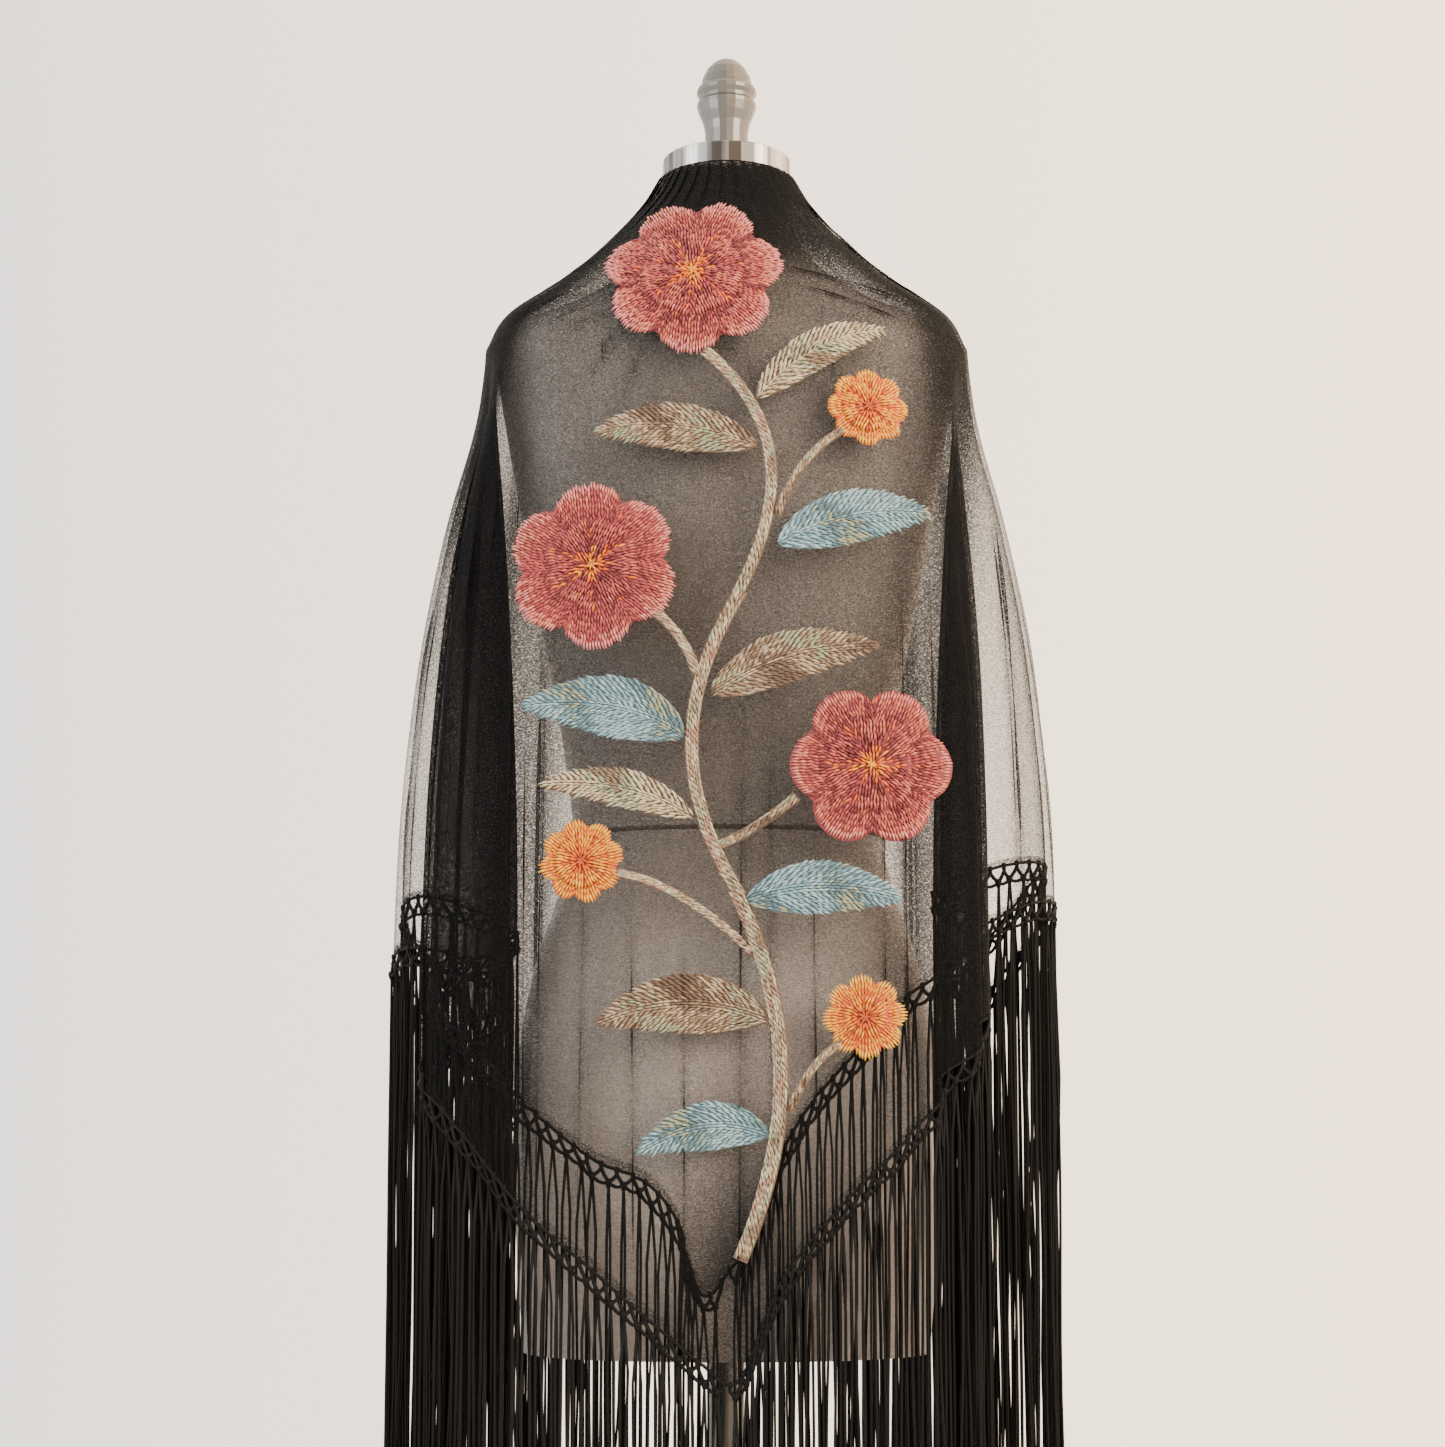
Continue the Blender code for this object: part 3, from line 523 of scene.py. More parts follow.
def drape_point(share, height):
    """The outer leaf's outer face: share runs from -1, left front, over 0, centre back, to 1."""
    share, height = np.broadcast_arrays(np.asarray(share, float), np.asarray(height, float))
    part, side = np.abs(share), np.sign(share)

    def folds(name):
        right = smooth_table(RIGHT_FOLDS, "share", name, part)
        return np.where(share >= 0, right, smooth_table(LEFT_FOLDS, "share", name, part))

    tent_height = np.maximum(height, SHOULDER)
    edge_angle = smooth_table(TENT_SECTIONS, "height", "edge_angle", tent_height)
    angle = np.radians(side * folds("shoulder_angle") * edge_angle / 150)
    section = (
        smooth_table(TENT_SECTIONS, "height", name, tent_height)
        for name in ("half_width", "back", "front", "squareness")
    )
    tent_x, tent_y = oval(angle, *section)
    spread = smooth_table(SPREADS, "height", "share", np.minimum(height, SHOULDER))
    soft = sum(
        fold.height * np.exp(-(((share - fold.share) / fold.width) ** 2)) for fold in SOFT_FOLDS
    )
    x = tent_x * (1 - spread) + side * folds("across") * spread
    y = tent_y * (1 - spread) + (folds("depth") - soft) * spread
    return np.stack([x, y, height], axis=-1)


def drape_ways(share, height):
    """Which way the drape runs round, runs up and faces at each place."""
    around = drape_point(share + PROBE, height) - drape_point(share - PROBE, height)
    up = drape_point(share, height + PROBE) - drape_point(share, height - PROBE)
    return unit(around), unit(up), unit(np.cross(around, up))


def along_crease(crease, share, height):
    """The crease's direction, how many widths each place is apart from it, and how deep it is."""
    du = (crease.to_share - crease.from_share) * SHARE_LENGTH
    dv = crease.to_height - crease.from_height
    length = math.hypot(du, dv)
    from_u, from_v = (share - crease.from_share) * SHARE_LENGTH, height - crease.from_height
    t = (from_u * du + from_v * dv) / length**2
    apart = (from_u * dv - from_v * du) / length / crease.width
    fade = np.clip(t * 6, 0, 1) * np.clip((1 - t) * 6, 0, 1)
    uneven = 0.78 + 0.22 * np.sin(15 * t + 3000 * crease.width)
    return du / length, dv / length, apart, fade * fade * (3 - 2 * fade) * uneven


def creased(share, height):
    """How far each place slides round, slides up and stands out where the mesh folds over."""
    around, up, out = (np.zeros(np.broadcast(share, height).shape) for _ in range(3))
    for crease in CREASES:
        across, down, apart, depth = along_crease(crease, share, height)
        turned = depth * apart * np.exp(-(apart**2))
        around -= FOLD_OVER * crease.width * turned * down
        up += FOLD_OVER * crease.width * turned * across
        out += 2.3 * crease.lift * turned
    for band in [*PLEAT_BANDS, NECK_PLEATS]:
        edge = 1 / (1 + ((share - band.middle) / band.half) ** 8)
        if band is NECK_PLEATS:
            grown = np.clip((height - band.start) / NECK_FADE, 0, 1)
        else:
            grown = np.clip((band.start - height) / PLEAT_FADE, 0, 1)
        uneven = band.phase + 0.9 * np.sin(9 * share + 3 * height)
        pleat = edge * grown * np.sin(2 * math.pi * band.pleats * share + uneven)
        around += band.slide * pleat
        out += band.lift * pleat
    return around, up, out


def cloth(share, height, inset):
    """The mesh of the outer leaf (inset 0) or the inner leaf (inset 1), with all its creases."""
    share, height = np.broadcast_arrays(np.asarray(share, float), np.asarray(height, float))
    gap = np.interp(height, column(LEAF_GAPS, "height"), column(LEAF_GAPS, "gap"))
    depth = WALL / 2 + inset * (gap + WALL)
    around, up, out = (amount * (1 - 0.3 * inset) for amount in creased(share, height))
    beside, upward, normal = drape_ways(share, height)
    moved = drape_point(share, height) + normal * (out - depth)[..., None]
    return moved + beside * around[..., None] + upward * up[..., None]


def gathered(share, height):
    """How many small folds deep the mesh is bunched, 0 where it is single, 1 at its densest, plus painted
    shade over the waist.
    """
    high = np.clip((height - 1.08) / 0.25, 0, 1)
    left = (1 - 0.2 * high) / (1 + ((share + 0.43 + 0.05 * high) / (0.065 + 0.06 * high)) ** 6)
    right = (1 - 0.45 * high) / (1 + ((share - 0.355 - 0.04 * high) / (0.08 + 0.04 * high)) ** 6)
    fronts = 0.3 / (1 + ((np.abs(share) - 0.85) / 0.07) ** 6)
    flank = np.clip((np.abs(share) - 0.19) / 0.05, 0, 1) * np.clip((1.28 - height) / 0.1, 0, 1)
    # Painted shade: over the waist the mesh is made more opaque, so darker, to stand for the shadow the
    # mesh casts on the linen where it hangs away.
    waist_shade = np.interp(height, (0.70, 0.96, 1.04, 1.16, 1.28), (0.06, 0.06, 0.17, 0.19, 0.17))
    point = 0.30 * np.exp(-((share / 0.045) ** 2)) * np.clip((0.83 - height) / 0.1, 0, 1)
    back = (waist_shade + 0.16 * flank + point) / (1 + (share / 0.33) ** 12)
    tent = 0.14 * np.clip((height - 1.385) / 0.03, 0, 1)
    ridge = 0.5 * np.exp(-(((np.abs(share) - 0.36) / 0.022) ** 2)) * np.clip((height - 1.40) / 0.03, 0, 1)
    nape = 1 / (1 + (share / 0.30) ** 8)
    neck = (0.16 + 0.84 * nape) * np.clip((height - 1.43) / 0.05, 0, 1)
    lines = 0
    for crease in CREASES:
        _, _, apart, depth = along_crease(crease, share, height)
        lines = lines + CREASE_BUNCHING * depth * np.exp(-((apart / 1.3) ** 2))
    return np.maximum.reduce([left, right, fronts, back, tent, ridge, neck]) + lines


def leaf_places(leaf):
    """The places (share, height) of a leaf's grid, closer together at the back."""
    even = np.linspace(-1, 1, LEAF_COLUMNS)
    shares = even * (0.6 + 0.4 * np.abs(even) ** 1.5)
    hem = smooth_table(HEMS, "share", leaf, shares)
    tent = np.linspace(SHAWL_TOP, SHOULDER, TENT_ROWS)[:, None] + 0 * shares
    even_rows = np.linspace(0, HEM_BAND - 0.004, SKIRT_ROWS - 1)[1:]
    part = np.concatenate([even_rows, [HEM_BAND, 1.0]])[:, None]
    heights = np.concatenate([tent, SHOULDER + (hem - SHOULDER) * part])
    return np.broadcast_to(shares, heights.shape), heights


netting, nodes, links, out = effect(
    "mesh_netting", [("Open", "NodeSocketFloat"), ("Height", "NodeSocketFloat")]
)
where = nodes.new("ShaderNodeTexCoord")
threads = add_noise(nodes, links, where, 400, 2.0, (1.6, 1.6, 2.6))
clouds = add_noise(nodes, links, where, 14, 3.0, (1.5, 1.5, 0.5))
both = nodes.new("ShaderNodeMath")
both.operation = "MULTIPLY"
links.new(rescaled(nodes, links, threads.outputs["Fac"], 0.33, 0.67, 0.72), both.inputs[0])
links.new(rescaled(nodes, links, clouds.outputs["Fac"], 0.3, 0.7, 0.96), both.inputs[1])
links.new(both.outputs[0], out.inputs["Open"])
links.new(threads.outputs["Fac"], out.inputs["Height"])

# Seen at a slant the threads close up: what is left open is the face-on share raised to 1 / cos,
# and raised again where the mesh is bunched in small folds and where painted shade darkens it over the
# waist
GATHERED_LAYERS = 7.0
mesh_cloth, mesh_shader = surface("black_mesh", (0.0060, 0.0062, 0.0064), 0.8)
mesh_shader.inputs["Specular IOR Level"].default_value = 0.06
net_node = tinted(mesh_cloth, mesh_shader, netting)
nodes, links = mesh_cloth.node_tree.nodes, mesh_cloth.node_tree.links
slant = nodes.new("ShaderNodeLayerWeight")
slant.inputs["Blend"].default_value = 0.5
steps = []
for operation, first, second in (
    ("SUBTRACT", 1.0, None),
    ("MAXIMUM", None, 0.22),
    ("DIVIDE", 1.0, None),
    ("POWER", None, None),
    ("SUBTRACT", 1.0, None),
):
    step = nodes.new("ShaderNodeMath")
    step.operation = operation
    for place, value in enumerate((first, second)):
        if value is not None:
            step.inputs[place].default_value = value
    steps.append(step)
cosine, limited, inverse, left_open, covered = steps
bunched = nodes.new("ShaderNodeAttribute")
bunched.attribute_name = "gathered"
layers = nodes.new("ShaderNodeMath")
layers.operation = "MULTIPLY_ADD"
layers.inputs[1].default_value = GATHERED_LAYERS
layers.inputs[2].default_value = 1.0
links.new(bunched.outputs["Fac"], layers.inputs[0])
links.new(layers.outputs[0], inverse.inputs[0])
links.new(slant.outputs["Facing"], cosine.inputs[1])
links.new(cosine.outputs[0], limited.inputs[0])
links.new(limited.outputs[0], inverse.inputs[1])
links.new(net_node.outputs["Open"], left_open.inputs[0])
links.new(inverse.outputs[0], left_open.inputs[1])
links.new(left_open.outputs[0], covered.inputs[1])
links.new(covered.outputs[0], mesh_shader.inputs["Alpha"])

LEAF_FACES = grid_quads(TENT_ROWS + SKIRT_ROWS, LEAF_COLUMNS)
leaf_points, leaves = {}, {}
for leaf, inset in (("outer", 0), ("inner", 1)):
    places = leaf_places(leaf)
    leaf_points[leaf] = cloth(*places, inset)
    name = f"shawl_{leaf}_leaf"
    leaves[leaf] = piece(
        name, leaf_points[leaf], LEAF_FACES, [mesh_cloth], [f"mesh_{leaf}_leaf"]
    )
    bunching_and_shade_attribute = leaves[leaf].data.attributes.new("gathered", "FLOAT", "POINT")
    bunching_and_shade_places = gathered(*places)
    bunching_and_shade_places[-2:] = np.maximum(bunching_and_shade_places[-2:], HEM_BUNCHING)
    bunching_and_shade_attribute.data.foreach_set("value", bunching_and_shade_places.ravel().astype(np.float32))

# The fold itself is the same mesh, bent round from one leaf to the other along the diagonal
# of the square: up one front, round the neck and down the other front.
FOLD_STEPS = 5


def rim(points, inside=0):
    """Up the left front, round the neck and down the right front, or so many places inside."""
    return np.concatenate([points[:0:-1, inside], points[inside], points[1:, -1 - inside]])


outer_rim, inner_rim = (rim(leaf_points[leaf]) for leaf in ("outer", "inner"))
away = unit(outer_rim - rim(leaf_points["outer"], 1))
middle, half = (outer_rim + inner_rim) / 2, (outer_rim - inner_rim) / 2
bulge = away * np.minimum(np.linalg.norm(half, axis=1, keepdims=True), 0.0016)
turns = np.linspace(0, math.pi, FOLD_STEPS)
fold_points = np.stack([middle + half * math.cos(t) + bulge * math.sin(t) for t in turns])
fold = piece(
    "shawl_fold", fold_points, grid_quads(FOLD_STEPS, len(outer_rim)), [mesh_cloth]
)

# The cut edges of the square are rolled and whipped over with black yarn, a firm round cord
# two millimetres thick along each leaf's hem.
HEM_RADIUS = 0.0011

twist, nodes, links, out = effect(
    "black_yarn_twist", [("Colour", "NodeSocketColor"), ("Height", "NodeSocketFloat")]
)
where = nodes.new("ShaderNodeTexCoord")
strands = add_noise(nodes, links, where, 700, 2.0, (1.0, 1.0, 0.6))
dark, light = (0.0015, 0.0015, 0.0015), (0.0060, 0.0058, 0.0056)
links.new(shaded(nodes, links, strands.outputs["Fac"], dark, light), out.inputs["Colour"])
links.new(strands.outputs["Fac"], out.inputs["Height"])
black_yarn, black_shader = surface("black_yarn", (0.004, 0.004, 0.004), 0.6)
black_shader.inputs["Specular IOR Level"].default_value = 0.12
tinted(black_yarn, black_shader, twist, 0.5, 0.0008)


def tubes(paths, radii, sides, facing, flatness=1.0):
    """Round threads along many paths of the same number of points, closed at both ends."""
    count, stations = paths.shape[:2]
    ahead = unit(np.gradient(paths, axis=1))
    beside = unit(np.cross(ahead, np.broadcast_to(facing, paths.shape)))
    over = np.cross(beside, ahead) * flatness
    turn = 2 * math.pi * (np.arange(sides) + 0.5) / sides
    ring = (
        beside[:, :, None] * np.cos(turn)[:, None] + over[:, :, None] * np.sin(turn)[:, None]
    )
    points = paths[:, :, None] + ring * np.broadcast_to(radii, (count, stations))[..., None, None]
    first = (np.arange(count) * stations * sides)[:, None, None]
    row, place = np.arange(stations - 1)[:, None], np.arange(sides)
    a = first + row * sides + place
    b = first + row * sides + (place + 1) % sides
    walls = np.stack([a, b, b + sides, a + sides], -1).reshape(-1, 4).tolist()
    ends = first[:, 0] + place
    caps = ends[:, ::-1].tolist() + (ends + (stations - 1) * sides).tolist()
    return points.reshape(-1, 3), walls + caps


def joined(parts):
    """Several lots of points and faces as one."""
    points, faces, start = [], [], 0
    for some_points, some_faces in parts:
        points.append(some_points)
        faces += [[corner + start for corner in face] for face in some_faces]
        start += len(some_points)
    return np.concatenate(points), faces


for leaf, points in leaf_points.items():
    points, faces = tubes(points[-1][None], HEM_RADIUS, 6, (0, 0, 1))
    piece(f"rolled_hem_{leaf}", points, faces, [black_yarn])

# The fringe is thick twisted rayon. It is knotted along the hem as one row of open loops, and
# from each knot hangs a pair of strands nearly half a metre long.
LOOP_PITCH = 0.0115
LOOP_DROP = 0.0100
LOOP_RADIUS, KNOT_RADIUS, STRAND_RADIUS = 0.0014, 0.0027, 0.00125
STRAND_LENGTH = 0.455
STRAND_STATIONS = 13
DOWN = np.array([0, 0, -1.0])


def net_and_strands(leaf, inset, side, rng):
    """The knotted heading and the strands of one edge of the square."""
    shares = np.linspace(0.004, 1, 900) * side
    heights = smooth_table(HEMS, "share", leaf, shares)
    line = cloth(shares, heights, inset)
    run = np.concatenate([[0], np.cumsum(np.linalg.norm(np.diff(line, axis=0), axis=1))])
    stops = np.arange(0, run[-1], LOOP_PITCH)
    top = np.stack([np.interp(stops, run, line[:, axis]) for axis in range(3)], -1)
    feet = (top[:-1] + top[1:]) / 2 + DOWN * LOOP_DROP
    feet += rng.normal(0, 0.0006, feet.shape)
    part = np.linspace(0, 1, 6)[None, :, None]
    parts = []
    along = unit(top[1:] - top[:-1])
    for start, sway in ((top[:-1], -1), (top[1:], 1)):
        bow = along * sway * 0.0016
        paths = start[:, None] * (1 - part) + feet[:, None] * part
        paths = paths + bow[:, None] * np.sin(math.pi * part**0.8)
        parts.append(tubes(paths, LOOP_RADIUS, 5, (0.3, 1, 0)))
    slack = 4 * part * (1 - part) * 0.0022
    cord = feet[:-1, None] * (1 - part) + feet[1:, None] * part + DOWN * slack
    parts.append(tubes(cord, LOOP_RADIUS * 0.9, 5, (0.3, 1, 0)))
    for places, size in ((top[:-1], 0.8), (feet, 1.0)):
        reach = DOWN * 0.0026 * size
        paths = np.stack([places - reach, places - reach / 3, places + reach / 2, places + reach * 1.5], 1)
        radii = np.array([0.5, 1.0, 0.85, 0.45]) * KNOT_RADIUS * size
        parts.append(tubes(paths, radii, 5, (0, 1, 0)))
    fall = np.linspace(0, 1, STRAND_STATIONS)[None, :]
    count = len(feet)
    along = unit(np.gradient(feet, axis=0) * (1, 1, 0)) * rng.uniform(0.5, 1.7, (count, 1))
    for apart in (-0.0018, 0.0018):
        length = STRAND_LENGTH + rng.normal(0, 0.007, (count, 1))
        paths = feet[:, None] + DOWN * (length * fall)[..., None]
        paths[..., :2] += (along * apart)[:, None, :2] * np.minimum(fall * 26, 1)[..., None]
        for axis in (0, 1):
            lean = rng.normal(0, 0.0022, (count, 1)) * fall**1.4
            wave = rng.normal(0, 0.0009, (count, 1)) * np.sin(
                2 * math.pi * (fall * rng.uniform(1.0, 2.6, (count, 1)) + rng.random((count, 1)))
            )
            paths[..., axis] += lean + wave * np.minimum(fall * 4, 1)
        radii = STRAND_RADIUS * np.where(fall > 0.97, 0.7, 1.0) * rng.uniform(0.85, 1.1, (count, 1))
        parts.append(tubes(paths, radii, 4, (0, 1, 0)))
    return joined(parts)


rng = np.random.default_rng(12)
for leaf, inset in (("outer", 0), ("inner", 1)):
    for side_name, side in (("left", -1), ("right", 1)):
        points, faces = net_and_strands(leaf, inset, side, rng)
        name = f"fringe_{leaf}_{side_name}"
        piece(f"knotted_{name}", points, faces, [black_yarn], [name])

# The spray is worked by hand on the outer leaf in thick variegated yarn. Rows of short
# stitches lie close together, each row along the petal, leaf or stem that it fills.
YARNS = {
    "wine": (0.170, 0.026, 0.030),
    "rose": (0.320, 0.052, 0.056),
    "coral": (0.460, 0.105, 0.075),
    "salmon": (0.560, 0.170, 0.125),
    "pink": (0.600, 0.200, 0.190),
    "rust": (0.400, 0.070, 0.020),
    "orange": (0.640, 0.120, 0.010),
    "gold": (0.740, 0.275, 0.006),
    "straw": (0.780, 0.390, 0.022),
    "slate": (0.095, 0.165, 0.185),
    "blue": (0.160, 0.290, 0.340),
    "pale_blue": (0.270, 0.410, 0.450),
    "sage": (0.280, 0.300, 0.200),
    "cream": (0.480, 0.440, 0.300),
    "beige": (0.390, 0.300, 0.205),
    "taupe": (0.220, 0.155, 0.100),
    "brown": (0.120, 0.075, 0.048),
    "dusty_pink": (0.310, 0.185, 0.135),
}
PALETTES = {
    "coral": ["gold", "orange", "rose", "wine", "coral", "rose", "coral", "salmon", "pink"],
    "rose": ["gold", "orange", "wine", "rose", "rose", "coral", "rose", "salmon", "pink"],
    "gold": ["rust", "orange", "gold", "gold", "straw"],
    "blue": ["sage", "slate", "blue", "pale_blue", "blue", "pale_blue"],
    "cream": ["taupe", "sage", "cream", "beige", "cream"],
    "taupe": ["brown", "taupe", "beige", "taupe", "sage"],
    "stem": ["taupe", "beige", "sage", "cream", "dusty_pink", "beige"],
}
Blossom = namedtuple("Blossom", "name across height radius petals tilt palette")
BLOSSOMS = [
    Blossom("blossom_nape", -0.024, 1.430, 0.062, 7, 10, "coral"),
    Blossom("blossom_left", -0.092, 1.215, 0.058, 6, 35, "rose"),
    Blossom("blossom_right", 0.098, 1.075, 0.056, 6, 0, "coral"),
    Blossom("bud_right_upper", 0.098, 1.330, 0.028, 8, 0, "gold"),
    Blossom("bud_left_lower", -0.098, 1.010, 0.028, 8, 12, "gold"),
    Blossom("bud_right_lower", 0.092, 0.905, 0.026, 8, 5, "gold"),
]
Sprig = namedtuple("Sprig", "name start bend end width palette")
LEAVES = [
    Sprig("leaf_1", (0.0400, 1.232), (0.088, 1.250), (0.142, 1.254), 0.038, "blue"),
    Sprig("leaf_2", (0.0160, 1.302), (-0.038, 1.314), (-0.092, 1.310), 0.034, "taupe"),
    Sprig("leaf_3", (0.0235, 1.338), (0.064, 1.372), (0.112, 1.388), 0.028, "cream"),
    Sprig("leaf_4", (-0.0335, 1.098), (-0.080, 1.116), (-0.140, 1.116), 0.042, "blue"),
    Sprig("leaf_5", (-0.0060, 1.128), (0.042, 1.150), (0.104, 1.158), 0.036, "taupe"),
    Sprig("leaf_6", (-0.0275, 1.042), (-0.074, 1.060), (-0.128, 1.062), 0.026, "cream"),
    Sprig("leaf_7", (0.0190, 0.985), (0.066, 0.992), (0.118, 0.984), 0.036, "blue"),
    Sprig("leaf_8", (0.0230, 0.905), (-0.030, 0.914), (-0.088, 0.900), 0.040, "taupe"),
    Sprig("leaf_9", (0.0235, 0.828), (-0.016, 0.832), (-0.060, 0.814), 0.032, "blue"),
]
STEMS = [
    Sprig("stem_lower", (0.012, 0.752), (0.036, 0.870), (0.008, 0.985), 0.0105, "stem"),
    Sprig("stem_middle", (0.006, 0.992), (-0.024, 1.090), (0.006, 1.190), 0.0095, "stem"),
    Sprig("stem_upper", (0.008, 1.197), (0.030, 1.290), (-0.010, 1.364), 0.0085, "stem"),
    Sprig("branch_1", (-0.0235, 1.146), (-0.032, 1.163), (-0.0435, 1.176), 0.007, "stem"),
    Sprig("branch_2", (0.001, 1.024), (0.020, 1.034), (0.040, 1.048), 0.007, "taupe"),
    Sprig("branch_3", (0.038, 1.258), (0.054, 1.288), (0.074, 1.308), 0.006, "taupe"),
    Sprig("branch_4", (0.012, 0.953), (-0.030, 0.985), (-0.066, 1.000), 0.006, "stem"),
    Sprig("branch_5", (0.0455, 0.850), (0.058, 0.872), (0.069, 0.883), 0.006, "taupe"),
]
# Each cushion under the stitches is coloured a darker tone of its yarn: painted shade in the gaps between
# the stitches.
CUSHION_SHADE_TONES = {
    "coral": "wine",
    "rose": "wine",
    "gold": "rust",
    "blue": "slate",
    "cream": "brown",
    "taupe": "brown",
    "stem": "brown",
}
STITCH_LENGTH, STITCH_PITCH = 0.0062, 0.0044
STITCH_WIDTH, STITCH_SPACING = 0.0021, 0.00195
STITCH_RISE, STITCH_SINK = 0.0006, 0.0006
CUSHION_SHARE = 0.6
BLOSSOM_MIXING, SPRIG_MIXING = 0.07, 0.12
STEM_REACH = 0.009
LEAF_REACH = 0.005

wool, nodes, links, out = effect("yarn_fibres", [("Height", "NodeSocketFloat")])
where = nodes.new("ShaderNodeTexCoord")
fibres = add_noise(nodes, links, where, 1500, 2.0)
links.new(fibres.outputs["Fac"], out.inputs["Height"])
yarns = {}
for name, colour in YARNS.items():
    yarns[name], yarn_shader = surface(f"yarn_{name}", colour, 0.75)
    tinted(yarns[name], yarn_shader, wool, 0.5, 0.0005)


def tree_of(points, faces):
    return BVHTree.FromPolygons([Vector(p) for p in points.reshape(-1, 3)], faces)


leaf_tree = tree_of(leaf_points["outer"], LEAF_FACES)
smooth_shares, smooth_heights = np.linspace(-0.5, 0.5, 121), np.linspace(SHAWL_TOP, 0.70, 110)
smooth_tree = tree_of(
    drape_point(*np.meshgrid(smooth_shares, smooth_heights)), grid_quads(110, 121)
)


def on_cloth(spots):
    """The cloth's points behind spots of the design, and which way the drape faces there."""
    places, normals = [], []
    for x, z in spots:
        ray = Vector((x, -0.5, z)), Vector((0, 1, 0))
        places.append(leaf_tree.ray_cast(*ray)[0])
        normal = smooth_tree.ray_cast(*ray)[1]
        normals.append(-normal if normal.y > 0 else normal)
    return np.array(places), np.array(normals)


def embroider(name, spots, headings, crowns, shades, palette, cushion, mixing, rng):
    """Stitches at spots of the design over a soft cushion in a darker tone of the same yarn, painted shade
    that shows in the gaps between stitches.
    """
    cushion_spots, cushion_crowns, cushion_faces, cushion_rim = cushion
    places, normals = on_cloth(cushion_spots)
    lift = 0.0002 + cushion_crowns * CUSHION_SHARE
    lift[cushion_rim] = 0.0001
    parts = [(places + normals * lift[:, None], cushion_faces)]
    names = PALETTES[palette]
    mixed = (shades + rng.normal(0, mixing, len(spots))) * len(names)
    kinds = np.clip(mixed, 0, len(names) - 0.01)
    tones = sorted({*names, CUSHION_SHADE_TONES[palette]})
    tone_of = np.array([tones.index(n) for n in names])[kinds.astype(int)]
    places, normals = on_cloth(spots)
    turned = headings + rng.normal(0, 0.10, len(spots))
    ahead = np.stack([np.cos(turned), 0 * turned, np.sin(turned)], -1)
    ahead[:, 1] = -(ahead * normals).sum(1) / normals[:, 1]
    ahead = ahead * (STITCH_LENGTH / 2 * rng.uniform(0.85, 1.2, (len(spots), 1)))
    centre = places + normals * (crowns + rng.normal(0, 0.00015, len(spots)))[:, None]
    rise, sink = normals * STITCH_RISE, normals * STITCH_SINK
    paths = np.stack([centre - ahead - sink, centre + rise, centre + ahead - sink], 1)
    radii = np.array([0.42, 1.0, 0.42]) * STITCH_WIDTH / 2 * rng.uniform(0.85, 1.12, (len(spots), 1))
    parts.append(tubes(paths, radii, 4, normals[:, None]))
    count = len(spots)
    # The cushion takes the darker tone, painted shade between the stitches.
    base = tones.index(CUSHION_SHADE_TONES[palette])
    walls = np.repeat(tone_of, len(parts[1][1]) // count - 2)
    face_tones = np.concatenate([np.full(len(cushion_faces), base), walls, tone_of, tone_of])
    points, faces = joined(parts)
    return piece(name, points, faces, [yarns[t] for t in tones], [name[7:]], face_tones)


def blossom_reach(blossom, turn, ring):
    """How far the scalloped outline reaches, and how near the turn is to a petal's middle."""
    wave = np.abs(np.cos(blossom.petals * (turn - math.radians(blossom.tilt)) / 2))
    return blossom.radius * ring * (1 - 0.20 * ring * (1 - wave**0.7)), wave


def blossom_crown(ring, wave, inner):
    """Height of the work: full petals with low edges, round a raised middle."""
    petal = 0.0006 + 0.0018 * wave**0.6 * np.clip(1.25 - ring, 0.15, 1)
    return petal + np.where(ring < inner, 0.0016, 0.0)


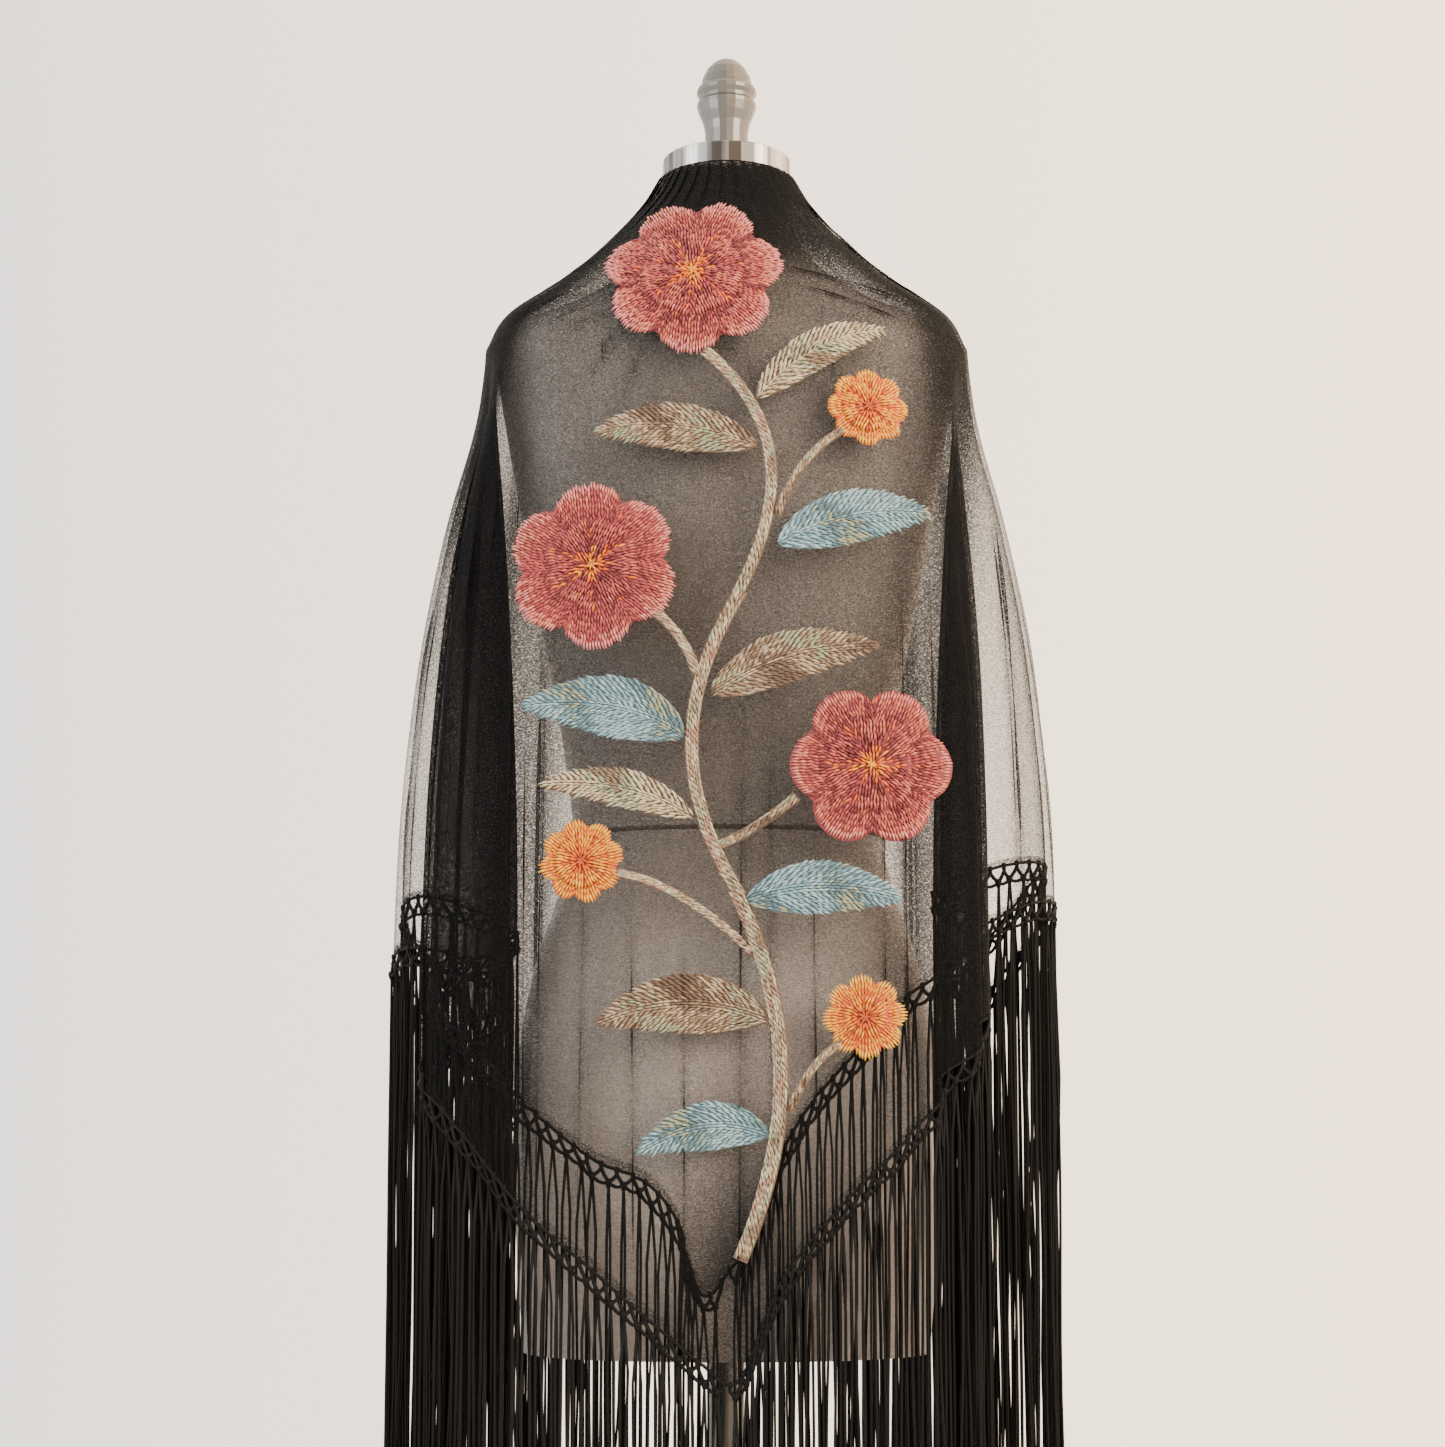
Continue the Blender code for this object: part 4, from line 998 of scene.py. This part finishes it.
def add_blossom(blossom, rng):
    inner = 0.58
    spots, headings, crowns, shades = [], [], [], []
    rings = np.arange(0.0022, blossom.radius - 0.0012, STITCH_PITCH) / (blossom.radius - 0.0012)
    for number, ring in enumerate(rings):
        around = max(3, round(2 * math.pi * blossom.radius * ring * 0.92 / STITCH_SPACING))
        turn = 2 * math.pi * (np.arange(around) + 0.5 * (number % 2)) / around
        turn = turn + rng.normal(0, 0.12 / around, around)
        reach, wave = blossom_reach(blossom, turn, ring + rng.normal(0, 0.012, around))
        shifted = turn + math.pi / blossom.petals
        _, inner_wave = blossom_reach(blossom, shifted, ring)
        shown = np.where(ring < inner, inner_wave, wave)
        spots.append(
            np.stack(
                [blossom.across + reach * np.cos(turn), blossom.height + reach * np.sin(turn)], -1
            )
        )
        petal = 2 * math.pi / blossom.petals
        tilt = math.radians(blossom.tilt) + np.where(ring < inner, petal / 2, 0)
        off_axis = (turn - tilt + petal / 2) % petal - petal / 2
        headings.append(turn - 0.55 * off_axis)
        crowns.append(blossom_crown(ring, shown, inner))
        if ring < inner:
            shade = 0.02 + 0.76 * ring / inner - 0.16 * (1 - shown)
            shades.append(np.where((shown < 0.3) & (ring > 0.2), 0.26, shade))
        else:
            outward = (ring - inner) / (1 - inner)
            shade = 0.36 + 0.62 * outward - 0.12 * (1 - shown)
            shades.append(np.where((shown < 0.28) | (outward < 0.12), 0.38, shade))
    cushion_sides = 56
    turn = 2 * math.pi * np.arange(cushion_sides) / cushion_sides
    cushion_spots = [[blossom.across, blossom.height]]
    cushion_crowns = [0.0018]
    for ring in (0.15, 0.35, 0.55, 0.6, 0.8, 0.93, 1.0):
        reach, wave = blossom_reach(blossom, turn, ring)
        x, z = blossom.across + reach * np.cos(turn), blossom.height + reach * np.sin(turn)
        cushion_spots += np.stack([x, z], -1).tolist()
        cushion_crowns += blossom_crown(ring, wave, inner).tolist()
    hub = [[0, 1 + (i + 1) % cushion_sides, 1 + i] for i in range(cushion_sides)]
    cuff = [[1 + a for a in face] for face in grid_quads(7, cushion_sides, closed=True)]
    cushion_rim = np.arange(len(cushion_spots) - cushion_sides, len(cushion_spots))
    cushion = (cushion_spots, np.array(cushion_crowns), hub + cuff, cushion_rim)
    return embroider(
        f"worked_{blossom.name}",
        np.concatenate(spots),
        np.concatenate(headings),
        np.concatenate(crowns),
        np.concatenate(shades),
        blossom.palette,
        cushion,
        BLOSSOM_MIXING,
        rng,
    )


def sprig_curve(sprig, part):
    """Places and directions on the smooth curve through a sprig's three places."""
    start, bend, end = (np.array(p) for p in (sprig.start, sprig.bend, sprig.end))
    middle = 2 * bend - (start + end) / 2
    part = np.asarray(part)[..., None]
    place = (1 - part) ** 2 * start + 2 * part * (1 - part) * middle + part**2 * end
    return place, unit(2 * (1 - part) * (middle - start) + 2 * part * (end - middle))


def sprig_half(sprig, part, pointed):
    if not pointed:
        return np.full(np.shape(part), sprig.width / 2)
    return sprig.width / 2 * (0.06 + 0.94 * np.sin(math.pi * part**0.85) ** 0.8)


def add_sprig(sprig, pointed, rng):
    """A leaf worked in slanting rows from its rib, or a stem worked like a rope."""
    (first, last), ways = sprig_curve(sprig, [0.0, 1.0])
    first = first - ways[0] * (LEAF_REACH if pointed else STEM_REACH)
    last = last + ways[1] * (0 if pointed else STEM_REACH)
    sprig = sprig._replace(start=tuple(first), end=tuple(last))
    length = math.dist(sprig.start, sprig.bend) + math.dist(sprig.bend, sprig.end)
    slant = 0.42 if pointed else 0.22
    spots, headings, crowns, shades = [], [], [], []
    lanes = max(3, math.ceil(sprig.width / STITCH_SPACING))
    drift = rng.random() * 6
    for lane in range(lanes):
        across = -1 + 2 * (lane + 0.5) / lanes
        count = math.ceil(length / STITCH_PITCH)
        part = (np.arange(count) + 0.15 + 0.7 * (lane % 2) + rng.normal(0, 0.1, count)) / count
        part = part[(part > 0.01) & (part < 0.985)]
        half = sprig_half(sprig, part, pointed)
        limit = np.clip(1 - 0.0007 / half, 0, 1)
        if pointed:
            kept = np.abs(across) * sprig.width / 2 < half - 0.0004
            part, half = part[kept], half[kept]
            sideways = np.full(part.shape, across * sprig.width / 2)
        else:
            sideways = across * half * limit
        place, way = sprig_curve(sprig, part)
        left = np.stack([-way[:, 1], way[:, 0]], -1)
        spots.append(place + left * sideways[:, None])
        heading = np.arctan2(way[:, 1], way[:, 0])
        lean = slant * np.sign(across) * (abs(across) > 0.12) if pointed else slant
        headings.append(heading + lean)
        edge = np.abs(sideways) / np.maximum(half, 1e-6)
        crowns.append(0.0007 + 0.0012 * np.sqrt(np.clip(1 - edge**2, 0, 1)))
        bands = 0.5 + 0.32 * np.sin(drift + part * length * 95 + 1.1 * across)
        shades.append(bands + (0.22 * across if pointed else 0.1 * across))
    stations = max(6, round(length / 0.004))
    steps = np.linspace(0, 1, stations)
    place, way = sprig_curve(sprig, steps)
    left = np.stack([-way[:, 1], way[:, 0]], -1)
    half = sprig_half(sprig, steps, pointed)
    ribs = np.array([-1, -0.7, 0, 0.7, 1])
    cushion_spots = (place[:, None] + left[:, None] * (half[:, None] * ribs)[..., None]).reshape(-1, 2)
    cushion_crowns = np.tile([0.0, 0.0014, 0.0019, 0.0014, 0.0], stations)
    cushion_faces = [face[::-1] for face in grid_quads(stations, len(ribs))]
    numbers = np.arange(stations * len(ribs)).reshape(stations, len(ribs))
    cushion_rim = np.unique(np.concatenate([numbers[0], numbers[-1], numbers[:, 0], numbers[:, -1]]))
    cushion = (cushion_spots, cushion_crowns, cushion_faces, cushion_rim)
    return embroider(
        f"worked_{sprig.name}",
        np.concatenate(spots),
        np.concatenate(headings),
        np.concatenate(crowns),
        np.concatenate(shades),
        sprig.palette,
        cushion,
        SPRIG_MIXING,
        rng,
    )


rng = np.random.default_rng(5)
worked = [add_blossom(blossom, rng) for blossom in BLOSSOMS]
worked += [add_sprig(sprig, True, rng) for sprig in LEAVES]
worked += [add_sprig(sprig, False, rng) for sprig in STEMS]
